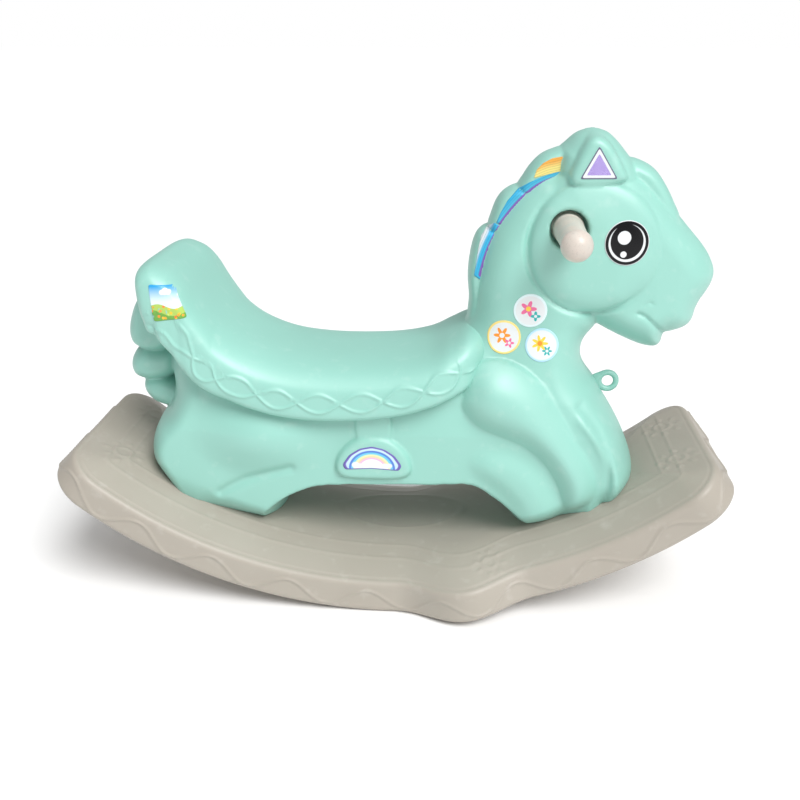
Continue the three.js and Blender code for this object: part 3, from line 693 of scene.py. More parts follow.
cheek_x, cheek_z = SIDE_X - CHEEK_CENTRE[0], SIDE_Z - CHEEK_CENTRE[1]
cheek_depth = CHEEK_RADIUS - np.hypot(cheek_x, cheek_z)
towards_forehead = 0.75 * cheek_x + 0.65 * cheek_z
softer_forward = np.interp(towards_forehead, [-8, 22], [1.0, 12])
cheek_rim = np.interp(towards_forehead, [-10, 45], [30, 74])
relief = join(relief, pad(cheek_depth, low=47, high=66, rim=cheek_rim), softer_forward)
crease_share = np.interp(towards_forehead, [-30, 14], [1, 0])
relief = carve(relief, cheek_depth - 0.5, CHEEK_CREASE * crease_share, width=2.6)
ear = pad(blur(depth_inside(EAR), radius=1.0), low=44, high=58, rim=8)
relief = join(relief, ear, blend=0.7)
print("cheek and ear: half width up to", round(float(np.sqrt(relief.max())), 1))

# %% [markdown]
# ### Arch, mouth and sockets
# What is taken away comes last: the arch, the line of the mouth with its small smile tick, and the
# round recess that the handlebar's collar sits in.

# %% Arch, mouth and sockets
# How much narrower the body gets at the tray: place along it, share of the half width.
HOOF_TUCK = ([-290, -230, -170, -130, 160, 200, 230, 262, 285],
             [0.02, 0.05, 0.22, 0.34, 0.26, 0.20, 0.04, 0.12, 0.16])
HOOF_TUCK_HEIGHT, HOOF_TUCK_LIMIT = 24.0, 1.5
HAUNCH_CREASE = [(-200, 122), (-186, 131), (-168, 140), (-145, 148), (-116, 156)]
CHEST_CREASE = [(214, 236), (232, 212), (246, 182), (250, 150), (246, 118)]
MOUTH = [(272, 340), (282, 335), (296, 322), (312, 307)]
SMILE_TICK = [(277, 348), (283, 352), (289, 350)]
GRIP_LOW, GRIP_HIGH = box_mm("handle_grip_right")
HANDLE_X = (GRIP_LOW[0] + GRIP_HIGH[0]) / 2
HANDLE_Z = (GRIP_LOW[2] + GRIP_HIGH[2]) / 2
COLLAR_RADIUS = (GRIP_HIGH[2] - GRIP_LOW[2]) / 2
SOCKET_CLEARANCE, SOCKET_FLOOR, SOCKET_SLOPE = 1.0, 46.0, 9.0

arch_depth = ARCH_SHRINK - depth_inside(ARCH)
relief = np.minimum(relief, pillow(arch_depth, ARCH_HALF, np.interp(SIDE_Z, *ARCH_RIM)))
# Each groove: its line, its depth, its width.
GROOVES = ((HAUNCH_CREASE, 3.6, 5.5), (CHEST_CREASE, 4.5, 5.0), (MOUTH, 3.6, 1.9),
           (SMILE_TICK, 1.3, 1.5))
for groove, depth, width in GROOVES:
    distance, _ = line_distance(smooth_line(groove, 6, closed=False), SIDE_X, SIDE_Z)
    relief = carve(relief, distance, depth, width)
socket_wall = np.hypot(SIDE_X - HANDLE_X, SIDE_Z - HANDLE_Z) - COLLAR_RADIUS - SOCKET_CLEARANCE
socket_height = SOCKET_FLOOR + SOCKET_SLOPE * np.maximum(socket_wall, 0)
relief = np.minimum(relief, socket_height ** 2)
above_tray = SIDE_Z - arc_height(SIDE_X, TRAY_EDGE + TRAY_CROWN)
tuck = np.interp(SIDE_X, *HOOF_TUCK)
tucked = 1 - tuck * np.clip(1 - above_tray / HOOF_TUCK_HEIGHT, 0, HOOF_TUCK_LIMIT) ** 2
relief = np.where(relief > 0, relief * tucked ** 2, relief)
print("sockets at", HANDLE_X, HANDLE_Z, "radius", COLLAR_RADIUS + SOCKET_CLEARANCE)

# %% [markdown]
# ## From the map to a skin
# The skin is where the squared half width equals y squared. A surface net finds it: a lattice is
# laid through space, every cell that the skin passes through gets one point at the mean of its
# edge crossings, and every lattice edge that crosses gets one face. The points then slide down the
# gradient onto the exact surface. A grid of two parameters can't wrap legs, arch and muzzle at
# once, which is why the body is made this way and the other pieces are plain grids.

# %% Surface net
def read_map(table, x, z):
    """A map's value at any place, bilinear between its lattice points."""
    i = np.clip((x - MAP_X[0]) / MAP_PITCH, 0, len(MAP_X) - 1.001)
    j = np.clip((z - MAP_Z[0]) / MAP_PITCH, 0, len(MAP_Z) - 1.001)
    i0, j0 = i.astype(int), j.astype(int)
    s, t = i - i0, j - j0
    near = table[i0, j0] * (1 - t) + table[i0, j0 + 1] * t
    far = table[i0 + 1, j0] * (1 - t) + table[i0 + 1, j0 + 1] * t
    return near * (1 - s) + far * s


def surface_net(field):
    """Points (in cells) and faces of the surface where the field crosses zero, positive inside."""
    cells = tuple(n - 1 for n in field.shape)
    total = np.zeros((*cells, 3), np.float32)
    count = np.zeros(cells, np.float32)
    quads = []
    number = np.arange(np.prod(cells)).reshape(cells)
    for axis in range(3):
        first = np.moveaxis(field, axis, 0)
        low, high = first[:-1], first[1:]
        crosses = (low > 0) != (high > 0)
        share = np.where(crosses, low / np.where(crosses, low - high, 1), 0)
        sums = np.moveaxis(total, axis, 0)
        counts = np.moveaxis(count, axis, 0)
        others = [a for a in range(3) if a != axis]
        for one in (0, 1):
            for two in (0, 1):
                part = (slice(None), slice(one, one + cells[others[0]]), slice(two, two + cells[others[1]]))
                counts += crosses[part]
                sums[..., axis] += share[part]
                sums[..., others[0]] += one * crosses[part]
                sums[..., others[1]] += two * crosses[part]
        numbers = np.moveaxis(number, axis, 0)
        inner = crosses[:, 1:-1, 1:-1]
        around = [numbers[:, :-1, :-1], numbers[:, 1:, :-1], numbers[:, 1:, 1:], numbers[:, :-1, 1:]]
        quads.append(np.stack([ring[inner] for ring in around], -1))
    used = count > 0
    index = np.cumsum(used.ravel()) - 1
    corner = np.stack(np.nonzero(used), -1)
    points = corner + total[used] / count[used][:, None]
    return points, index[np.concatenate(quads)]


# %% The horse's shell
NET_PITCH = np.array([2.35, 4.2, 2.35])
NET_MARGIN, NET_BELOW, HALF_REACH = 10.0, 18, 106.0
# The tray's cut counts CUT_WEIGHT for each millimetre; points nearer to it than CUT_CLEARANCE stay.
CUT_WEIGHT, CUT_CLEARANCE = 120, 3
SLIDES, LONGEST_SLIDE, LEAST_SLOPE = 4, 1.2, 25


def above_crown(x, y, z):
    """Height over the plane where the hooves end, a little under the tray's crown."""
    along = ROCKER_RADIUS * np.arctan2(x, ARC_CENTRE - z)
    height = ROCKER_RADIUS - np.hypot(x, ARC_CENTRE - z)
    return height - crown_height(along, y) + HOOF_BITE


def horse_skin():
    """Net over the relief: field = min(relief(x, z) - y^2, CUT_WEIGHT * height over the cut), and the
    points then slid onto it."""
    xs = np.arange(HORSE_LOW[0] - NET_MARGIN, HORSE_HIGH[0] + NET_MARGIN, NET_PITCH[0])
    ys = np.arange(-HALF_REACH, HALF_REACH + NET_PITCH[1], NET_PITCH[1])
    zs = np.arange(HORSE_LOW[2] - NET_BELOW, HORSE_HIGH[2] + NET_MARGIN, NET_PITCH[2])
    net_x, net_z = np.meshgrid(xs, zs, indexing="ij")
    squared = read_map(relief, net_x, net_z)
    field = np.minimum(squared[:, None, :] - ys[None, :, None] ** 2,
                       CUT_WEIGHT * above_crown(net_x[:, None, :], ys[None, :, None], net_z[:, None, :]))
    points, faces = surface_net(field.astype(np.float32))
    points = np.array([xs[0], ys[0], zs[0]]) + points * NET_PITCH
    slope_x, slope_z = np.gradient(relief, MAP_PITCH)
    free = above_crown(*points.T) > CUT_CLEARANCE
    for _ in range(SLIDES):
        x, y, z = points.T
        miss = read_map(relief, x, z) - y ** 2
        uphill = np.stack([read_map(slope_x, x, z), -2 * y, read_map(slope_z, x, z)], -1)
        step = miss[:, None] * uphill / np.maximum((uphill ** 2).sum(-1), LEAST_SLOPE)[:, None]
        length = np.linalg.norm(step, axis=-1, keepdims=True)
        points = points - free[:, None] * step * np.minimum(1, LONGEST_SLIDE / np.maximum(length, 1e-6))
    return points, faces


shell_points, shell_faces = horse_skin()
shell = make_piece("horse_shell", shell_points, shell_faces, MINT, "toy")

# %% [markdown]
# ## The saddle
# Seat, back rest and skirt are one long cushion shape moulded with the horse. Its section is a
# superellipse standing on the line from the skirt's edge to the top: |y / W|^n + |h / H|^n = 1,
# with a soft n above the widest line and a square n below it, which gives a rounded seat and a
# tight lip. The sections fan round the back rest. A braid of two crossing waves runs along the
# skirt, and being real relief it is added to the points along their normals.

# %% Saddle sections
# Each station: top (x, z), widest line (x, z), skirt edge (x, z), half width.
SADDLE = [
    ((-262, 309), (-262, 309), (-262, 309), 0), ((-270, 317), (-259, 315), (-256, 310), 86),
    ((-277, 337), (-258, 328), (-252, 306), 99), ((-281, 361), (-256, 341), (-249, 301), 103),
    ((-281, 385), (-251, 350), (-245, 295), 104), ((-267, 394), (-244, 353), (-240, 288), 104),
    ((-251, 390.5), (-239, 347), (-235, 279), 104), ((-239, 384), (-232, 336), (-229, 270), 104),
    ((-228, 372), (-225, 323), (-221, 261), 105), ((-217, 355), (-216, 308), (-210, 252), 105),
    ((-203, 336), (-202, 294), (-196, 245), 105), ((-185, 317), (-185, 279), (-178, 239), 105),
    ((-162, 302), (-162, 266), (-157, 231), 105), ((-128, 290), (-128, 254), (-126, 223), 105),
    ((-86, 284.5), (-87, 248), (-87, 219), 105), ((-40, 283.5), (-40, 248), (-40, 220), 105),
    ((6, 286), (6, 252), (8, 226), 105), ((42, 293.5), (43, 262), (44, 236), 103),
    ((67, 307), (68, 275), (69, 246), 97), ((87, 318), (89, 285), (90, 258), 86),
    ((102, 316), (104, 292), (104, 271), 66), ((111, 302), (112, 296), (111, 287), 38),
    ((113, 296), (113, 296), (113, 296), 0),
]
SEAT_POWER, REST_POWER, LIP_POWER = 2.7, 4.6, 8.0
SADDLE_ROWS, SADDLE_COLUMNS = 600, 156
BRAID_INSET, BRAID_SWING, BRAID_HALF_WAVE, BRAID_CROSSING_X = 25.0, 10.5, 51.0, -103.0
RIDGE_HEIGHT, RIDGE_WIDTH = 1.6, 2.0
BRAID_FRONT_FADE, BRAID_REAR_FADE, BRAID_FLANK = 12, 8, 70
# The middle section, which spaces the columns: half width, rise over and drop under its widest line.
MIDDLE_HALF, MIDDLE_RISE, MIDDLE_DROP = 105, 38, 31
SKIRT_FROM, SKIRT_TOP, SKIRT_WEIGHT = 98, 14, 4.0
HIDDEN_WITHIN, HIDDEN_WEIGHT = 80, 0.3


def saddle_stations():
    """Smooth curves through the stations, resampled to even steps of top and skirt together."""
    marks = [(*top, *wide, *edge, half) for top, wide, edge, half in SADDLE]
    dense = smooth_line(marks, 40, closed=False)
    step = np.hypot(*np.diff(dense[:, 0:2], axis=0).T) + np.hypot(*np.diff(dense[:, 4:6], axis=0).T)
    run = np.concatenate([[0], np.cumsum(step)])
    even = np.linspace(0, run[-1], SADDLE_ROWS)
    return np.stack([np.interp(even, run, column) for column in dense.T], -1)


def section_angles():
    """Angles round a section, close together on the skirt, where the braid is, and sparse below."""
    angle = np.linspace(0, 2 * np.pi, 4001)
    power = np.where(np.cos(angle) > 0, SEAT_POWER, LIP_POWER)
    across = MIDDLE_HALF * np.sign(np.sin(angle)) * np.abs(np.sin(angle)) ** (2 / power)
    reach = np.where(np.cos(angle) > 0, MIDDLE_RISE, MIDDLE_DROP)
    up = reach * np.sign(np.cos(angle)) * np.abs(np.cos(angle)) ** (2 / power)
    skirt = (np.abs(across) > SKIRT_FROM) & (up < SKIRT_TOP)
    hidden = (np.abs(across) < HIDDEN_WITHIN) & (up < 0)
    weight = np.where(skirt, SKIRT_WEIGHT, np.where(hidden, HIDDEN_WEIGHT, 1.0))[1:]
    run = np.concatenate([[0], np.cumsum(np.hypot(np.diff(across), np.diff(up)) * weight)])
    return np.interp(np.linspace(0, run[-1], SADDLE_COLUMNS, endpoint=False), run, angle)


def grid_normals(points):
    """Unit normals of a grid whose columns close on themselves, from its neighbours' differences."""
    down = np.gradient(points, axis=0)
    beside = np.roll(points, -1, 1) - np.roll(points, 1, 1)
    normal = np.cross(down, beside)
    return normal / np.maximum(np.linalg.norm(normal, axis=-1, keepdims=True), 1e-9)


def braid_relief(points, skirt):
    """Height of the braid: two waves at +swing and -swing about a line inset from the skirt's edge."""
    height = np.zeros(points.shape[:2])
    side = np.abs(points[..., 1]) > BRAID_FLANK
    x, z = points[side][:, 0], points[side][:, 2]
    line = skirt[::3]
    run = np.concatenate([[0], np.cumsum(np.hypot(*np.diff(line, axis=0).T))])
    gap = np.hypot(x[:, None] - line[None, :, 0], z[:, None] - line[None, :, 1])
    nearest = gap.argmin(1)
    tangent = np.gradient(line, axis=0)
    tangent /= np.linalg.norm(tangent, axis=-1, keepdims=True)
    offset = np.stack([x, z], -1) - line[nearest]
    along = run[nearest] + (offset * tangent[nearest]).sum(-1)
    crossing = run[np.abs(line[:, 0] - BRAID_CROSSING_X).argmin()]
    inset = np.abs(offset[:, 0] * tangent[nearest, 1] - offset[:, 1] * tangent[nearest, 0]) - BRAID_INSET
    swing = BRAID_SWING * np.sin(np.pi * (along - crossing) / BRAID_HALF_WAVE)
    ridges = [np.exp(-((inset - sign * swing) / RIDGE_WIDTH) ** 2) for sign in (1, -1)]
    front = np.clip((run[-1] - BRAID_FRONT_FADE - along) / BRAID_FRONT_FADE, 0, 1)
    ends = front * np.clip(along / BRAID_REAR_FADE, 0, 1)
    height[side] = RIDGE_HEIGHT * np.maximum(*ridges) * ends
    return height


def saddle_grid():
    """Section points: widest line + (top or edge - widest line) * up, and y = half width * across."""
    stations = saddle_stations()
    top, wide, edge, half = stations[:, 0:2], stations[:, 2:4], stations[:, 4:6], stations[:, 6]
    angle = section_angles()
    upward = np.cos(angle) > 0
    rest = np.interp(wide[:, 0], [-235, -195], [REST_POWER, SEAT_POWER])
    power = np.where(upward[None, :], rest[:, None], LIP_POWER)
    up = np.abs(np.cos(angle)) ** (2 / power)
    across = np.sign(np.sin(angle)) * np.abs(np.sin(angle)) ** (2 / power)
    target = np.where(upward[None, :, None], top[:, None, :], edge[:, None, :])
    side_view = wide[:, None, :] + (target - wide[:, None, :]) * up[..., None]
    y = np.maximum(half, 0)[:, None] * across
    points = np.stack([side_view[..., 0], y, side_view[..., 1]], -1)
    normals = grid_normals(points)
    outward = np.sign((normals[..., 1] * points[..., 1]).sum())
    return points + outward * normals * braid_relief(points, edge)[..., None]


saddle_points = saddle_grid()
saddle_faces = grid_faces(SADDLE_ROWS, SADDLE_COLUMNS, wrap_columns=True)
saddle = make_piece("saddle", saddle_points.reshape(-1, 3), saddle_faces, MINT, "toy")
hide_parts("horse_body")
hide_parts("horse_body")

# %% [markdown]
# ## Grips, chest ring and fasteners
# Each grip is a turned part: a profile carried round the handlebar's axis, from the collar in the
# socket, along the shaft, to the ball. The small ring on the chest, for a pull cord, is a torus that
# is flatter across than it is round. Screws, washers and the handlebar's core keep their CAD shape
# and get a real finish.

# %% Grips
GRIP_SIDES = 96
SHAFT_RADIUS, BALL_RADIUS, SEAT_LIFT, COLLAR_THICKNESS = 15.2, 16.4, 0.4, 2.0
THREAD_PITCH, THREAD_HEIGHT, THREAD_LENGTH = 4.2, 0.5, 22.0
# The shaft flares at its root, and meets the ball in a small step (outwards, along the axis).
ROOT_FLARE, NECK_INSET, NECK_STEP = 1.3, 1.2, (0.3, -0.4)
RIM_ROWS, SHAFT_ROWS, BALL_ROWS = 8, 120, 40


def grip_profile(tip):
    """(radius, distance along the axis) from the collar's back to the ball's pole at `tip`."""
    centre = tip - BALL_RADIUS
    meet = np.arcsin((SHAFT_RADIUS - NECK_INSET) / BALL_RADIUS)
    angle = np.linspace(np.pi - meet, 0, BALL_ROWS)
    ball = np.stack([BALL_RADIUS * np.sin(angle), centre + BALL_RADIUS * np.cos(angle)], -1)
    seat = SOCKET_FLOOR + SEAT_LIFT
    bend = np.linspace(0, np.pi / 2, RIM_ROWS)
    rim = np.stack([COLLAR_RADIUS - 1 + np.cos(bend), seat + COLLAR_THICKNESS - 1 + np.sin(bend)], -1)
    run = np.linspace(0, 1, SHAFT_ROWS)[:, None]
    root = np.array([SHAFT_RADIUS + ROOT_FLARE, seat + COLLAR_THICKNESS])
    shaft = root + (ball[0] + NECK_STEP - root) * run
    thread = np.clip(1 - (shaft[:, 1] - root[1]) / THREAD_LENGTH, 0, 1) ** 0.5
    shaft[:, 0] += THREAD_HEIGHT * thread * np.sin(2 * np.pi * (shaft[:, 1] - root[1]) / THREAD_PITCH)
    return np.concatenate([[[0, seat], [COLLAR_RADIUS, seat]], rim, shaft, ball])


def turned_grid(profile, sides):
    """(x, y, z) = centre + (r cos a, run, r sin a): the profile carried round the handlebar's axis."""
    angle = np.linspace(0, 2 * np.pi, sides, endpoint=False)
    radius, run = profile[:, :1], profile[:, 1:]
    return np.stack([HANDLE_X + radius * np.cos(angle), run + 0 * angle,
                     HANDLE_Z + radius * np.sin(angle)], -1)


def speckled_finish():
    """Pale stone-coloured plastic with fine darker flecks and a warmer cast in soft patches at random."""
    material, tree, shader = start_material("speckled_plastic", 0.34)
    place = object_place(tree)
    flecks = math_node(tree, "MULTIPLY_ADD", noise(tree, 520.0, 2.0, place), 6.0, -3.3, clamp=True)
    cloud = math_node(tree, "MULTIPLY_ADD", noise(tree, 45.0, 3.0, place), 2.2, -0.6, clamp=True)
    ground = mix_colour(tree, cloud, (0.56, 0.54, 0.49, 1.0), (0.66, 0.55, 0.48, 1.0))
    faint = math_node(tree, "MULTIPLY", flecks, 0.35)
    tree.links.new(mix_colour(tree, faint, ground, (0.40, 0.37, 0.33, 1.0)), shader.inputs["Base Color"])
    add_bump(tree, shader, noise(tree, 800.0, 2.0, place), 0.0003, 0.3)
    return material


SPECKLED = speckled_finish()
for side, sign in (("right", -1), ("left", 1)):
    profile = grip_profile(box_mm(f"handle_grip_{side}")[1 if sign > 0 else 0][1] * sign)
    grid = turned_grid(profile, GRIP_SIDES) * [1, sign, 1]
    faces = grid_faces(len(profile), GRIP_SIDES, wrap_columns=True)
    grip = make_piece(f"grip_{side}", grid.reshape(-1, 3), faces, SPECKLED, "handlebar")
    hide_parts(f"handle_grip_{side}")

# %% Chest ring
RING_CENTRE, RING_RADIUS, RING_WIRE, RING_HALF_THICKNESS = (252.0, 244.0), 10.0, 3.4, 3.2
RING_LUG, RING_LUG_ANGLE = 9.0, 0.55
RING_AROUND, RING_SECTION = 72, 24


def ring_grid():
    """Torus: r = R + w cos b in the side view, y = t sin b, with a web that widens towards the chest."""
    a, b = np.meshgrid(np.linspace(0, 2 * np.pi, RING_AROUND, endpoint=False),
                       np.linspace(0, 2 * np.pi, RING_SECTION, endpoint=False), indexing="ij")
    web = np.exp(-((a - np.pi) / RING_LUG_ANGLE) ** 2)
    wire = RING_WIRE + RING_LUG * web * (np.cos(b) > 0)
    radius = RING_RADIUS + wire * np.cos(b)
    return np.stack([RING_CENTRE[0] + radius * np.cos(a), RING_HALF_THICKNESS * np.sin(b),
                     RING_CENTRE[1] + radius * np.sin(a)], -1)


ring = ring_grid()
ring_faces = grid_faces(RING_AROUND, RING_SECTION, wrap_rows=True, wrap_columns=True)
make_piece("chest_ring", ring.reshape(-1, 3), ring_faces, MINT, "toy")

# %% Fasteners and core


def steel_finish():
    """Zinc-plated steel: metallic, with a streaky roughness."""
    material, tree, shader = start_material("zinc_plated_steel", 0.3)
    place = object_place(tree)
    shader.inputs["Metallic"].default_value = 1.0
    streak = noise(tree, 700.0, 4.0, place)
    tree.links.new(mix_colour(tree, streak, (0.58, 0.60, 0.62, 1.0), (0.74, 0.75, 0.76, 1.0)),
                   shader.inputs["Base Color"])
    tree.links.new(math_node(tree, "MULTIPLY_ADD", streak, 0.25, 0.2), shader.inputs["Roughness"])
    return material


def core_finish():
    """Plain natural nylon bar with a faint drawn grain."""
    material, tree, shader = start_material("natural_nylon", 0.45)
    cloud = noise(tree, 120.0, 3.0, object_place(tree))
    tree.links.new(mix_colour(tree, cloud, (0.70, 0.68, 0.62, 1.0), (0.78, 0.76, 0.71, 1.0)),
                   shader.inputs["Base Color"])
    return material


STEEL, NYLON = steel_finish(), core_finish()
for node_name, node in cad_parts.items():
    if node_name.startswith(("base_screw", "base_washer")):
        node.material_slots[0].material = STEEL
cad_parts["handle_core"].material_slots[0].material = NYLON

# %% [markdown]
# ## Stickers
# A sticker is a printed film that follows the skin under it. Each is a polar grid: the centre, then
# rings out to its outline, then back underneath, with y read from the relief map a little under
# half a millimetre above the skin. The art is drawn in the shader with plain shapes, on a flat UV
# that spans the sticker, so it stays sharp at any distance. All motifs are simple flowers, arcs and
# hills.

# %% Sticker film
FILM_LIFT, FILM_SINK, FILM_RINGS, FILM_SIDES = 0.45, 0.6, 20, 120


def round_corners(corners, radius, sides=FILM_SIDES):
    """A polygon at even steps, its corners rounded by a running Gaussian mean of that radius."""
    loop = np.array([*corners, corners[0]], float)
    run = np.concatenate([[0], np.cumsum(np.hypot(*np.diff(loop, axis=0).T))])
    even = np.linspace(0, run[-1], sides, endpoint=False)
    points = np.stack([np.interp(even, run, column) for column in loop.T], -1)
    step = run[-1] / sides
    reach = np.arange(-int(3 * radius / step) - 1, int(3 * radius / step) + 2)
    weight = np.exp(-0.5 * (reach * step / max(radius, 1e-3)) ** 2)
    return sum(w * np.roll(points, k, 0) for k, w in zip(reach, weight)) / weight.sum()


def circle(centre, radius, sides=FILM_SIDES):
    """A circle in the side view."""
    angle = np.linspace(0, 2 * np.pi, sides, endpoint=False)
    return np.stack([centre[0] + radius * np.cos(angle), centre[1] + radius * np.sin(angle)], -1)


def skin_width(x, z):
    """Half width of the horse's skin at places of the side view."""
    return np.sqrt(np.maximum(read_map(relief, x, z), 0))


def mane_width(x, z):
    """Half width of the mane's locks alone, so that a strip runs in under the neck's edge."""
    return np.sqrt(np.maximum(read_map(mane_relief, x, z), 0))


def saddle_width(x, z):
    """Half width of the saddle near places of the side view: mean of its nearest points' |y|."""
    side = saddle_points.reshape(-1, 3)
    side = side[(side[:, 1] < -60) & (side[:, 0] < -190)]
    gap = np.hypot(x.reshape(-1, 1) - side[:, 0], z.reshape(-1, 1) - side[:, 2])
    near = np.argpartition(gap, 6, axis=1)[:, :6]
    weight = 1 / (np.take_along_axis(gap, near, 1) + 0.3) ** 2
    return ((-side[near, 1] * weight).sum(1) / weight.sum(1)).reshape(x.shape)


def sticker(name, outline, finish, width=skin_width, hair_line=None):
    """A film on both flanks: place = centre + share * (outline - centre), y = skin width + lift.

    Its points keep `share`, 0 in the middle and 1 at the edge, and `strand`, the distance from a
    hair line in centimetres."""
    centre = outline.mean(0)
    share = np.concatenate([np.linspace(0, 1, FILM_RINGS), np.linspace(1, 0, FILM_RINGS)])
    lift = np.concatenate([np.full(FILM_RINGS, FILM_LIFT), np.full(FILM_RINGS, -FILM_SINK)])
    side_view = centre + share[:, None, None] * (outline - centre)
    x, z = side_view[..., 0], side_view[..., 1]
    y = width(x, z) + lift[:, None]
    low, high = outline.min(0), outline.max(0)
    uv = ((side_view - low) / (high - low)).reshape(-1, 2)
    values = {"share": np.repeat(share, len(outline))}
    if hair_line is not None:
        values["strand"] = line_distance(smooth_line(hair_line, 6, closed=False), x, z)[0] / 10
    faces = grid_faces(len(share), len(outline), wrap_columns=True)
    for side, sign in (("right", -1), ("left", 1)):
        points = np.stack([x, sign * y, z], -1).reshape(-1, 3)
        film = make_piece(f"{name}_sticker_{side}", points, faces, finish, "toy", uv, values)
        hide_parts(f"{name}_decal_{side}")


# %% [markdown]
# ### Drawing with nodes
# A disc is one minus a sharp step of the distance from its centre. A flower is a disc whose radius
# follows the cosine of the angle. Masks are stacked with mix nodes from the ground colour upward.

# %% Drawing helpers
def print_material(name, roughness=0.28):
    """A sticker's material, its shader and its UV as two outputs."""
    material, tree, shader = start_material(name, roughness)
    shader.inputs["Specular IOR Level"].default_value = 0.3
    flat = tree.nodes.new("ShaderNodeUVMap")
    flat.uv_map = "flat"
    split = tree.nodes.new("ShaderNodeSeparateXYZ")
    tree.links.new(flat.outputs["UV"], split.inputs[0])
    return material, tree, shader, split.outputs[0], split.outputs[1]


def point_value(tree, name):
    """A named number that each point of the piece carries."""
    node = tree.nodes.new("ShaderNodeAttribute")
    node.attribute_name = name
    return node.outputs["Fac"]


def radius_from(tree, u, v, centre):
    """Distance from a centre, in widths of the sticker, and the angle round it."""
    across = math_node(tree, "SUBTRACT", u, centre[0])
    up = math_node(tree, "SUBTRACT", v, centre[1])
    squares = math_node(tree, "ADD", math_node(tree, "MULTIPLY", across, across),
                        math_node(tree, "MULTIPLY", up, up))
    return math_node(tree, "SQRT", squares), math_node(tree, "ARCTAN2", up, across)


def inside(tree, distance, radius, sharpness=90.0):
    """1 where the distance is less than the radius, with a thin soft edge."""
    gap = math_node(tree, "SUBTRACT", radius, distance)
    return math_node(tree, "MULTIPLY_ADD", gap, sharpness, 0.5, clamp=True)


def disc(tree, u, v, centre, radius):
    """Mask of a disc."""
    return inside(tree, radius_from(tree, u, v, centre)[0], radius)


def flower(tree, u, v, centre, radius, petals):
    """Mask of a flower: radius * (0.72 + 0.28 cos(petals * angle))."""
    distance, angle = radius_from(tree, u, v, centre)
    wave = math_node(tree, "COSINE", math_node(tree, "MULTIPLY", angle, float(petals)))
    edge = math_node(tree, "MULTIPLY_ADD", wave, 0.28 * radius, 0.72 * radius)
    return inside(tree, distance, edge)


def stack_colours(tree, shader, ground, layers):
    """Lays coloured masks over a ground colour, the last on top, and wires the result to the shader."""
    colour = ground
    for mask, paint in layers:
        colour = mix_colour(tree, mask, colour, (*paint, 1.0) if isinstance(paint, tuple) else paint)
    tree.links.new(colour, shader.inputs["Base Color"])


BLACK, WHITE = (0.004, 0.004, 0.005), (0.74, 0.77, 0.78)


def eye_finish():
    """Black disc, white rim, a crescent of light round the lower edge and two highlights."""
    material, tree, shader, u, v = print_material("eye_print", 0.22)
    pupil = disc(tree, u, v, (0.5, 0.5), 0.415)
    crescent = math_node(tree, "SUBTRACT", pupil, disc(tree, u, v, (0.475, 0.53), 0.392), clamp=True)
    low_crescent = math_node(tree, "SUBTRACT", pupil, disc(tree, u, v, (0.535, 0.535), 0.41), clamp=True)
    stack_colours(tree, shader, (*WHITE, 1.0), [
        (disc(tree, u, v, (0.5, 0.5), 0.485), BLACK), (crescent, WHITE), (low_crescent, WHITE),
        (disc(tree, u, v, (0.43, 0.62), 0.15), WHITE), (disc(tree, u, v, (0.43, 0.25), 0.07), WHITE)])
    return material


def round_finish(name, rim, petal, petals, heart, second):
    """White disc with a coloured rim, a flower, its centre and a small second flower."""
    material, tree, shader, u, v = print_material(name)
    stack_colours(tree, shader, (*rim, 1.0), [
        (disc(tree, u, v, (0.5, 0.5), 0.44), WHITE),
        (flower(tree, u, v, (0.44, 0.55), 0.25, petals), petal),
        (disc(tree, u, v, (0.44, 0.55), 0.075), heart),
        (flower(tree, u, v, (0.66, 0.33), 0.15, petals - 1), second),
        (disc(tree, u, v, (0.66, 0.33), 0.045), WHITE)])
    return material


def ear_finish():
    """Lilac glitter triangle inside a white line and a dark edge, from the sticker's own share."""
    material, tree, shader, _, _ = print_material("ear_print", 0.3)
    share = point_value(tree, "share")
    grains = noise(tree, 1400.0, 1.0, object_place(tree))
    glitter = math_node(tree, "MULTIPLY_ADD", grains, 4.0, -1.6, clamp=True)
    lilac = mix_colour(tree, glitter, (0.30, 0.22, 0.55, 1.0), (0.52, 0.42, 0.78, 1.0))
    stack_colours(tree, shader, (0.13, 0.12, 0.20, 1.0), [
        (inside(tree, share, 0.90, 40.0), WHITE), (inside(tree, share, 0.66, 40.0), lilac)])
    return material


def hair_finish(name, low, high, gain, offset, edge=None):
    """Strand colours that run along the lock: a blend from low to high, thin darker strands, an edge."""
    material, tree, shader, _, _ = print_material(name)
    across = point_value(tree, "strand")
    ramp = math_node(tree, "MULTIPLY_ADD", across, gain, offset, clamp=True)
    blend = mix_colour(tree, ramp, (*low, 1.0), (*high, 1.0))
    strands = math_node(tree, "SINE", math_node(tree, "MULTIPLY", across, 26.0))
    crests = math_node(tree, "MULTIPLY_ADD", strands, 4.0, -3.0, clamp=True)
    thin = math_node(tree, "MULTIPLY", crests, 0.55)
    layers = [(thin, tuple(0.35 * c for c in low))]
    if edge:
        layers.append((inside(tree, across, 0.27, 30.0), edge))
    stack_colours(tree, shader, blend, layers)
    return material


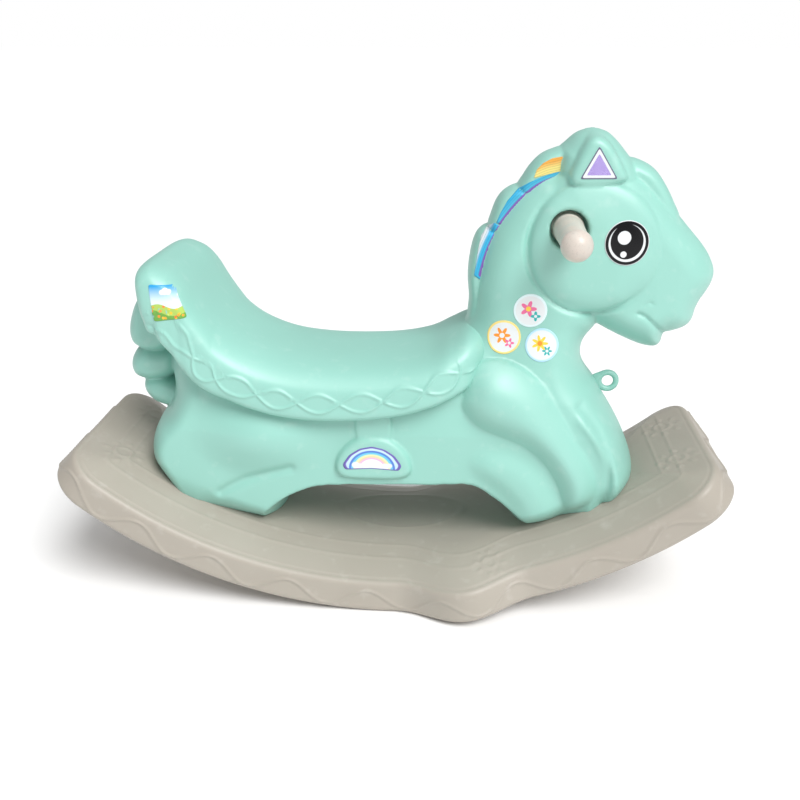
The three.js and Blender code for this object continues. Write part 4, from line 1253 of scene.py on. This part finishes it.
def hills_finish():
    """Blue sky fading down, two white clouds, two green hills and a scatter of warm flowers."""
    material, tree, shader, u, v = print_material("hills_print")
    sky = mix_colour(tree, math_node(tree, "MULTIPLY_ADD", v, 2.4, -1.3, clamp=True),
                     (0.72, 0.86, 0.93, 1.0), (0.03, 0.33, 0.68, 1.0))
    clouds = [disc(tree, u, v, place, size) for place, size in
              (((0.36, 0.80), 0.07), ((0.44, 0.82), 0.09), ((0.53, 0.80), 0.07), ((0.78, 0.72), 0.05),
               ((0.85, 0.73), 0.06))]
    far_wave = math_node(tree, "SINE", math_node(tree, "MULTIPLY", u, 7.0))
    far_line = math_node(tree, "MULTIPLY_ADD", far_wave, 0.06, 0.42)
    near_wave = math_node(tree, "COSINE", math_node(tree, "MULTIPLY", u, 5.0))
    near_line = math_node(tree, "MULTIPLY_ADD", near_wave, 0.08, 0.24)
    dots = tree.nodes.new("ShaderNodeTexVoronoi")
    dots.inputs["Scale"].default_value = 8.0
    flat = tree.nodes.new("ShaderNodeCombineXYZ")
    tree.links.new(u, flat.inputs[0])
    tree.links.new(v, flat.inputs[1])
    tree.links.new(flat.outputs[0], dots.inputs["Vector"])
    warm = mix_colour(tree, dots.outputs["Color"], (0.80, 0.10, 0.04, 1.0), (0.95, 0.62, 0.05, 1.0))
    field = inside(tree, v, far_line, 60.0)
    bloom = math_node(tree, "MULTIPLY", inside(tree, dots.outputs["Distance"], 0.34, 30.0), field)
    stack_colours(tree, shader, sky, [
        *[(mask, WHITE) for mask in clouds], (field, (0.42, 0.58, 0.12)),
        (inside(tree, v, near_line, 60.0), (0.16, 0.38, 0.07)), (bloom, warm)])
    return material


def rainbow_finish():
    """Concentric bands of colour over a pale sky, inside a violet edge."""
    material, tree, shader, u, v = print_material("rainbow_print")
    flat_v = math_node(tree, "MULTIPLY", v, 0.5)
    bands = [(0.40, (0.10, 0.22, 0.62)), (0.36, (0.16, 0.55, 0.80)), (0.32, (0.72, 0.80, 0.42)),
             (0.285, (0.90, 0.62, 0.40)), (0.25, (0.78, 0.45, 0.66)), (0.215, (0.80, 0.86, 0.92))]
    layers = [(disc(tree, u, flat_v, (0.5, 0.02), radius), paint) for radius, paint in bands]
    layers += [(disc(tree, u, flat_v, place, size), WHITE) for place, size in
               (((0.22, 0.10), 0.07), ((0.30, 0.08), 0.06), ((0.72, 0.08), 0.07), ((0.80, 0.10), 0.05))]
    edge = math_node(tree, "SUBTRACT", 1.0, inside(tree, point_value(tree, "share"), 0.90, 30.0))
    stack_colours(tree, shader, (0.55, 0.72, 0.88, 1.0), [*layers, (edge, (0.16, 0.12, 0.42))])
    return material


# %% Stickers on the skin
def decal_centre(name):
    """Centre and half height of a CAD decal in the side view."""
    low, high = box_mm(f"{name}_decal_right")
    return (low[[0, 2]] + high[[0, 2]]) / 2, (high[2] - low[2]) / 2


eye_centre, eye_radius = decal_centre("eye")
sticker("eye", circle(eye_centre, eye_radius), eye_finish())
PINK, TEAL = (0.80, 0.16, 0.33), (0.03, 0.42, 0.42)
YELLOW, ORANGE = (0.93, 0.62, 0.08), (0.90, 0.30, 0.04)
for spot, rim, petal, petals, heart, second in (
        ("round_upper", (0.72, 0.86, 0.88), PINK, 5, YELLOW, TEAL),
        ("round_rear", (0.93, 0.72, 0.25), ORANGE, 6, WHITE, PINK),
        ("round_front", (0.45, 0.72, 0.85), YELLOW, 7, ORANGE, TEAL)):
    centre, radius = decal_centre(spot)
    finish = round_finish(f"{spot}_print", rim, petal, petals, heart, second)
    sticker(spot, circle(centre, radius), finish)

EAR_TRIANGLE = [(200, 486), (239, 486.5), (218, 520)]
MANE_TOP = [(153, 483), (156, 492), (163, 499), (172, 504), (182, 506), (192, 505), (196, 497), (189, 493),
            (180, 490), (168, 487)]
MANE_MIDDLE = [(196, 495), (188, 492), (175, 489), (161, 484), (148, 478), (135, 469), (126, 459),
               (119, 446), (114, 434), (124, 430), (136, 446), (150, 460), (166, 472), (184, 480),
               (200, 484)]
MANE_LOW = [(112, 434), (104, 427), (98, 419), (95, 404), (93, 388), (91, 375), (98, 370), (108, 390),
            (117, 410), (124, 428)]
TOP_HAIR_LINE = [(150, 478), (168, 486), (180, 489), (196, 494)]
MIDDLE_HAIR_LINE = [(192, 487), (172, 481), (156, 473), (141, 460), (129, 446), (117, 429)]
LOW_HAIR_LINE = [(119, 430), (110, 412), (104, 396), (99, 376)]
PICTURE = [(-256, 335), (-219, 340), (-234, 374), (-259, 376)]
RAINBOW = [(-51, 160), (-20, 162), (11, 160), (14, 166), (6, 178), (-6, 186), (-20, 189), (-34, 186),
           (-46, 178), (-54, 166)]
VIOLET = (0.20, 0.10, 0.40)
gold = hair_finish("mane_gold_print", low=(0.80, 0.66, 0.22), high=(0.78, 0.36, 0.07),
                   gain=1.6, offset=-1.1)
blue = hair_finish("mane_blue_print", low=(0.10, 0.48, 0.66), high=(0.03, 0.36, 0.62),
                   gain=1.0, offset=0.0, edge=VIOLET)
sea = hair_finish("mane_sea_print", low=(0.04, 0.40, 0.66), high=(0.70, 0.74, 0.76),
                  gain=3.0, offset=-2.1, edge=VIOLET)
sticker("ear", round_corners(EAR_TRIANGLE, radius=1.6), ear_finish())
sticker("mane_top", round_corners(MANE_TOP, radius=1.0), gold, mane_width, TOP_HAIR_LINE)
sticker("mane_middle", round_corners(MANE_MIDDLE, radius=0.7), blue, mane_width,
        MIDDLE_HAIR_LINE)
sticker("mane_low", round_corners(MANE_LOW, radius=0.7), sea, mane_width, LOW_HAIR_LINE)
sticker("rainbow", round_corners(RAINBOW, radius=2.0), rainbow_finish())
sticker("picture", round_corners(PICTURE, radius=2.0), hills_finish(), width=saddle_width)

# %% [markdown]
# ## Floor and the end
# The two boxes are printed at the start, so that the visual model can be compared with the CAD frame.

# %% Floor and finish
FLOOR_HALF, FLOOR_ROUGHNESS, FLOOR_PAINT = 60.0, 0.9, (0.99, 0.99, 0.99, 1.0)
floor_mesh = bpy.data.meshes.new("floor")
corners = [(-FLOOR_HALF, -FLOOR_HALF, 0), (FLOOR_HALF, -FLOOR_HALF, 0), (FLOOR_HALF, FLOOR_HALF, 0),
           (-FLOOR_HALF, FLOOR_HALF, 0)]
floor_mesh.from_pydata(corners, [], [(0, 1, 2, 3)])
floor = bpy.data.objects.new("floor", floor_mesh)
bpy.context.collection.objects.link(floor)
floor_paint, _, floor_shader = start_material("pale_floor", FLOOR_ROUGHNESS)
floor_shader.inputs["Base Color"].default_value = FLOOR_PAINT
floor_mesh.materials.append(floor_paint)
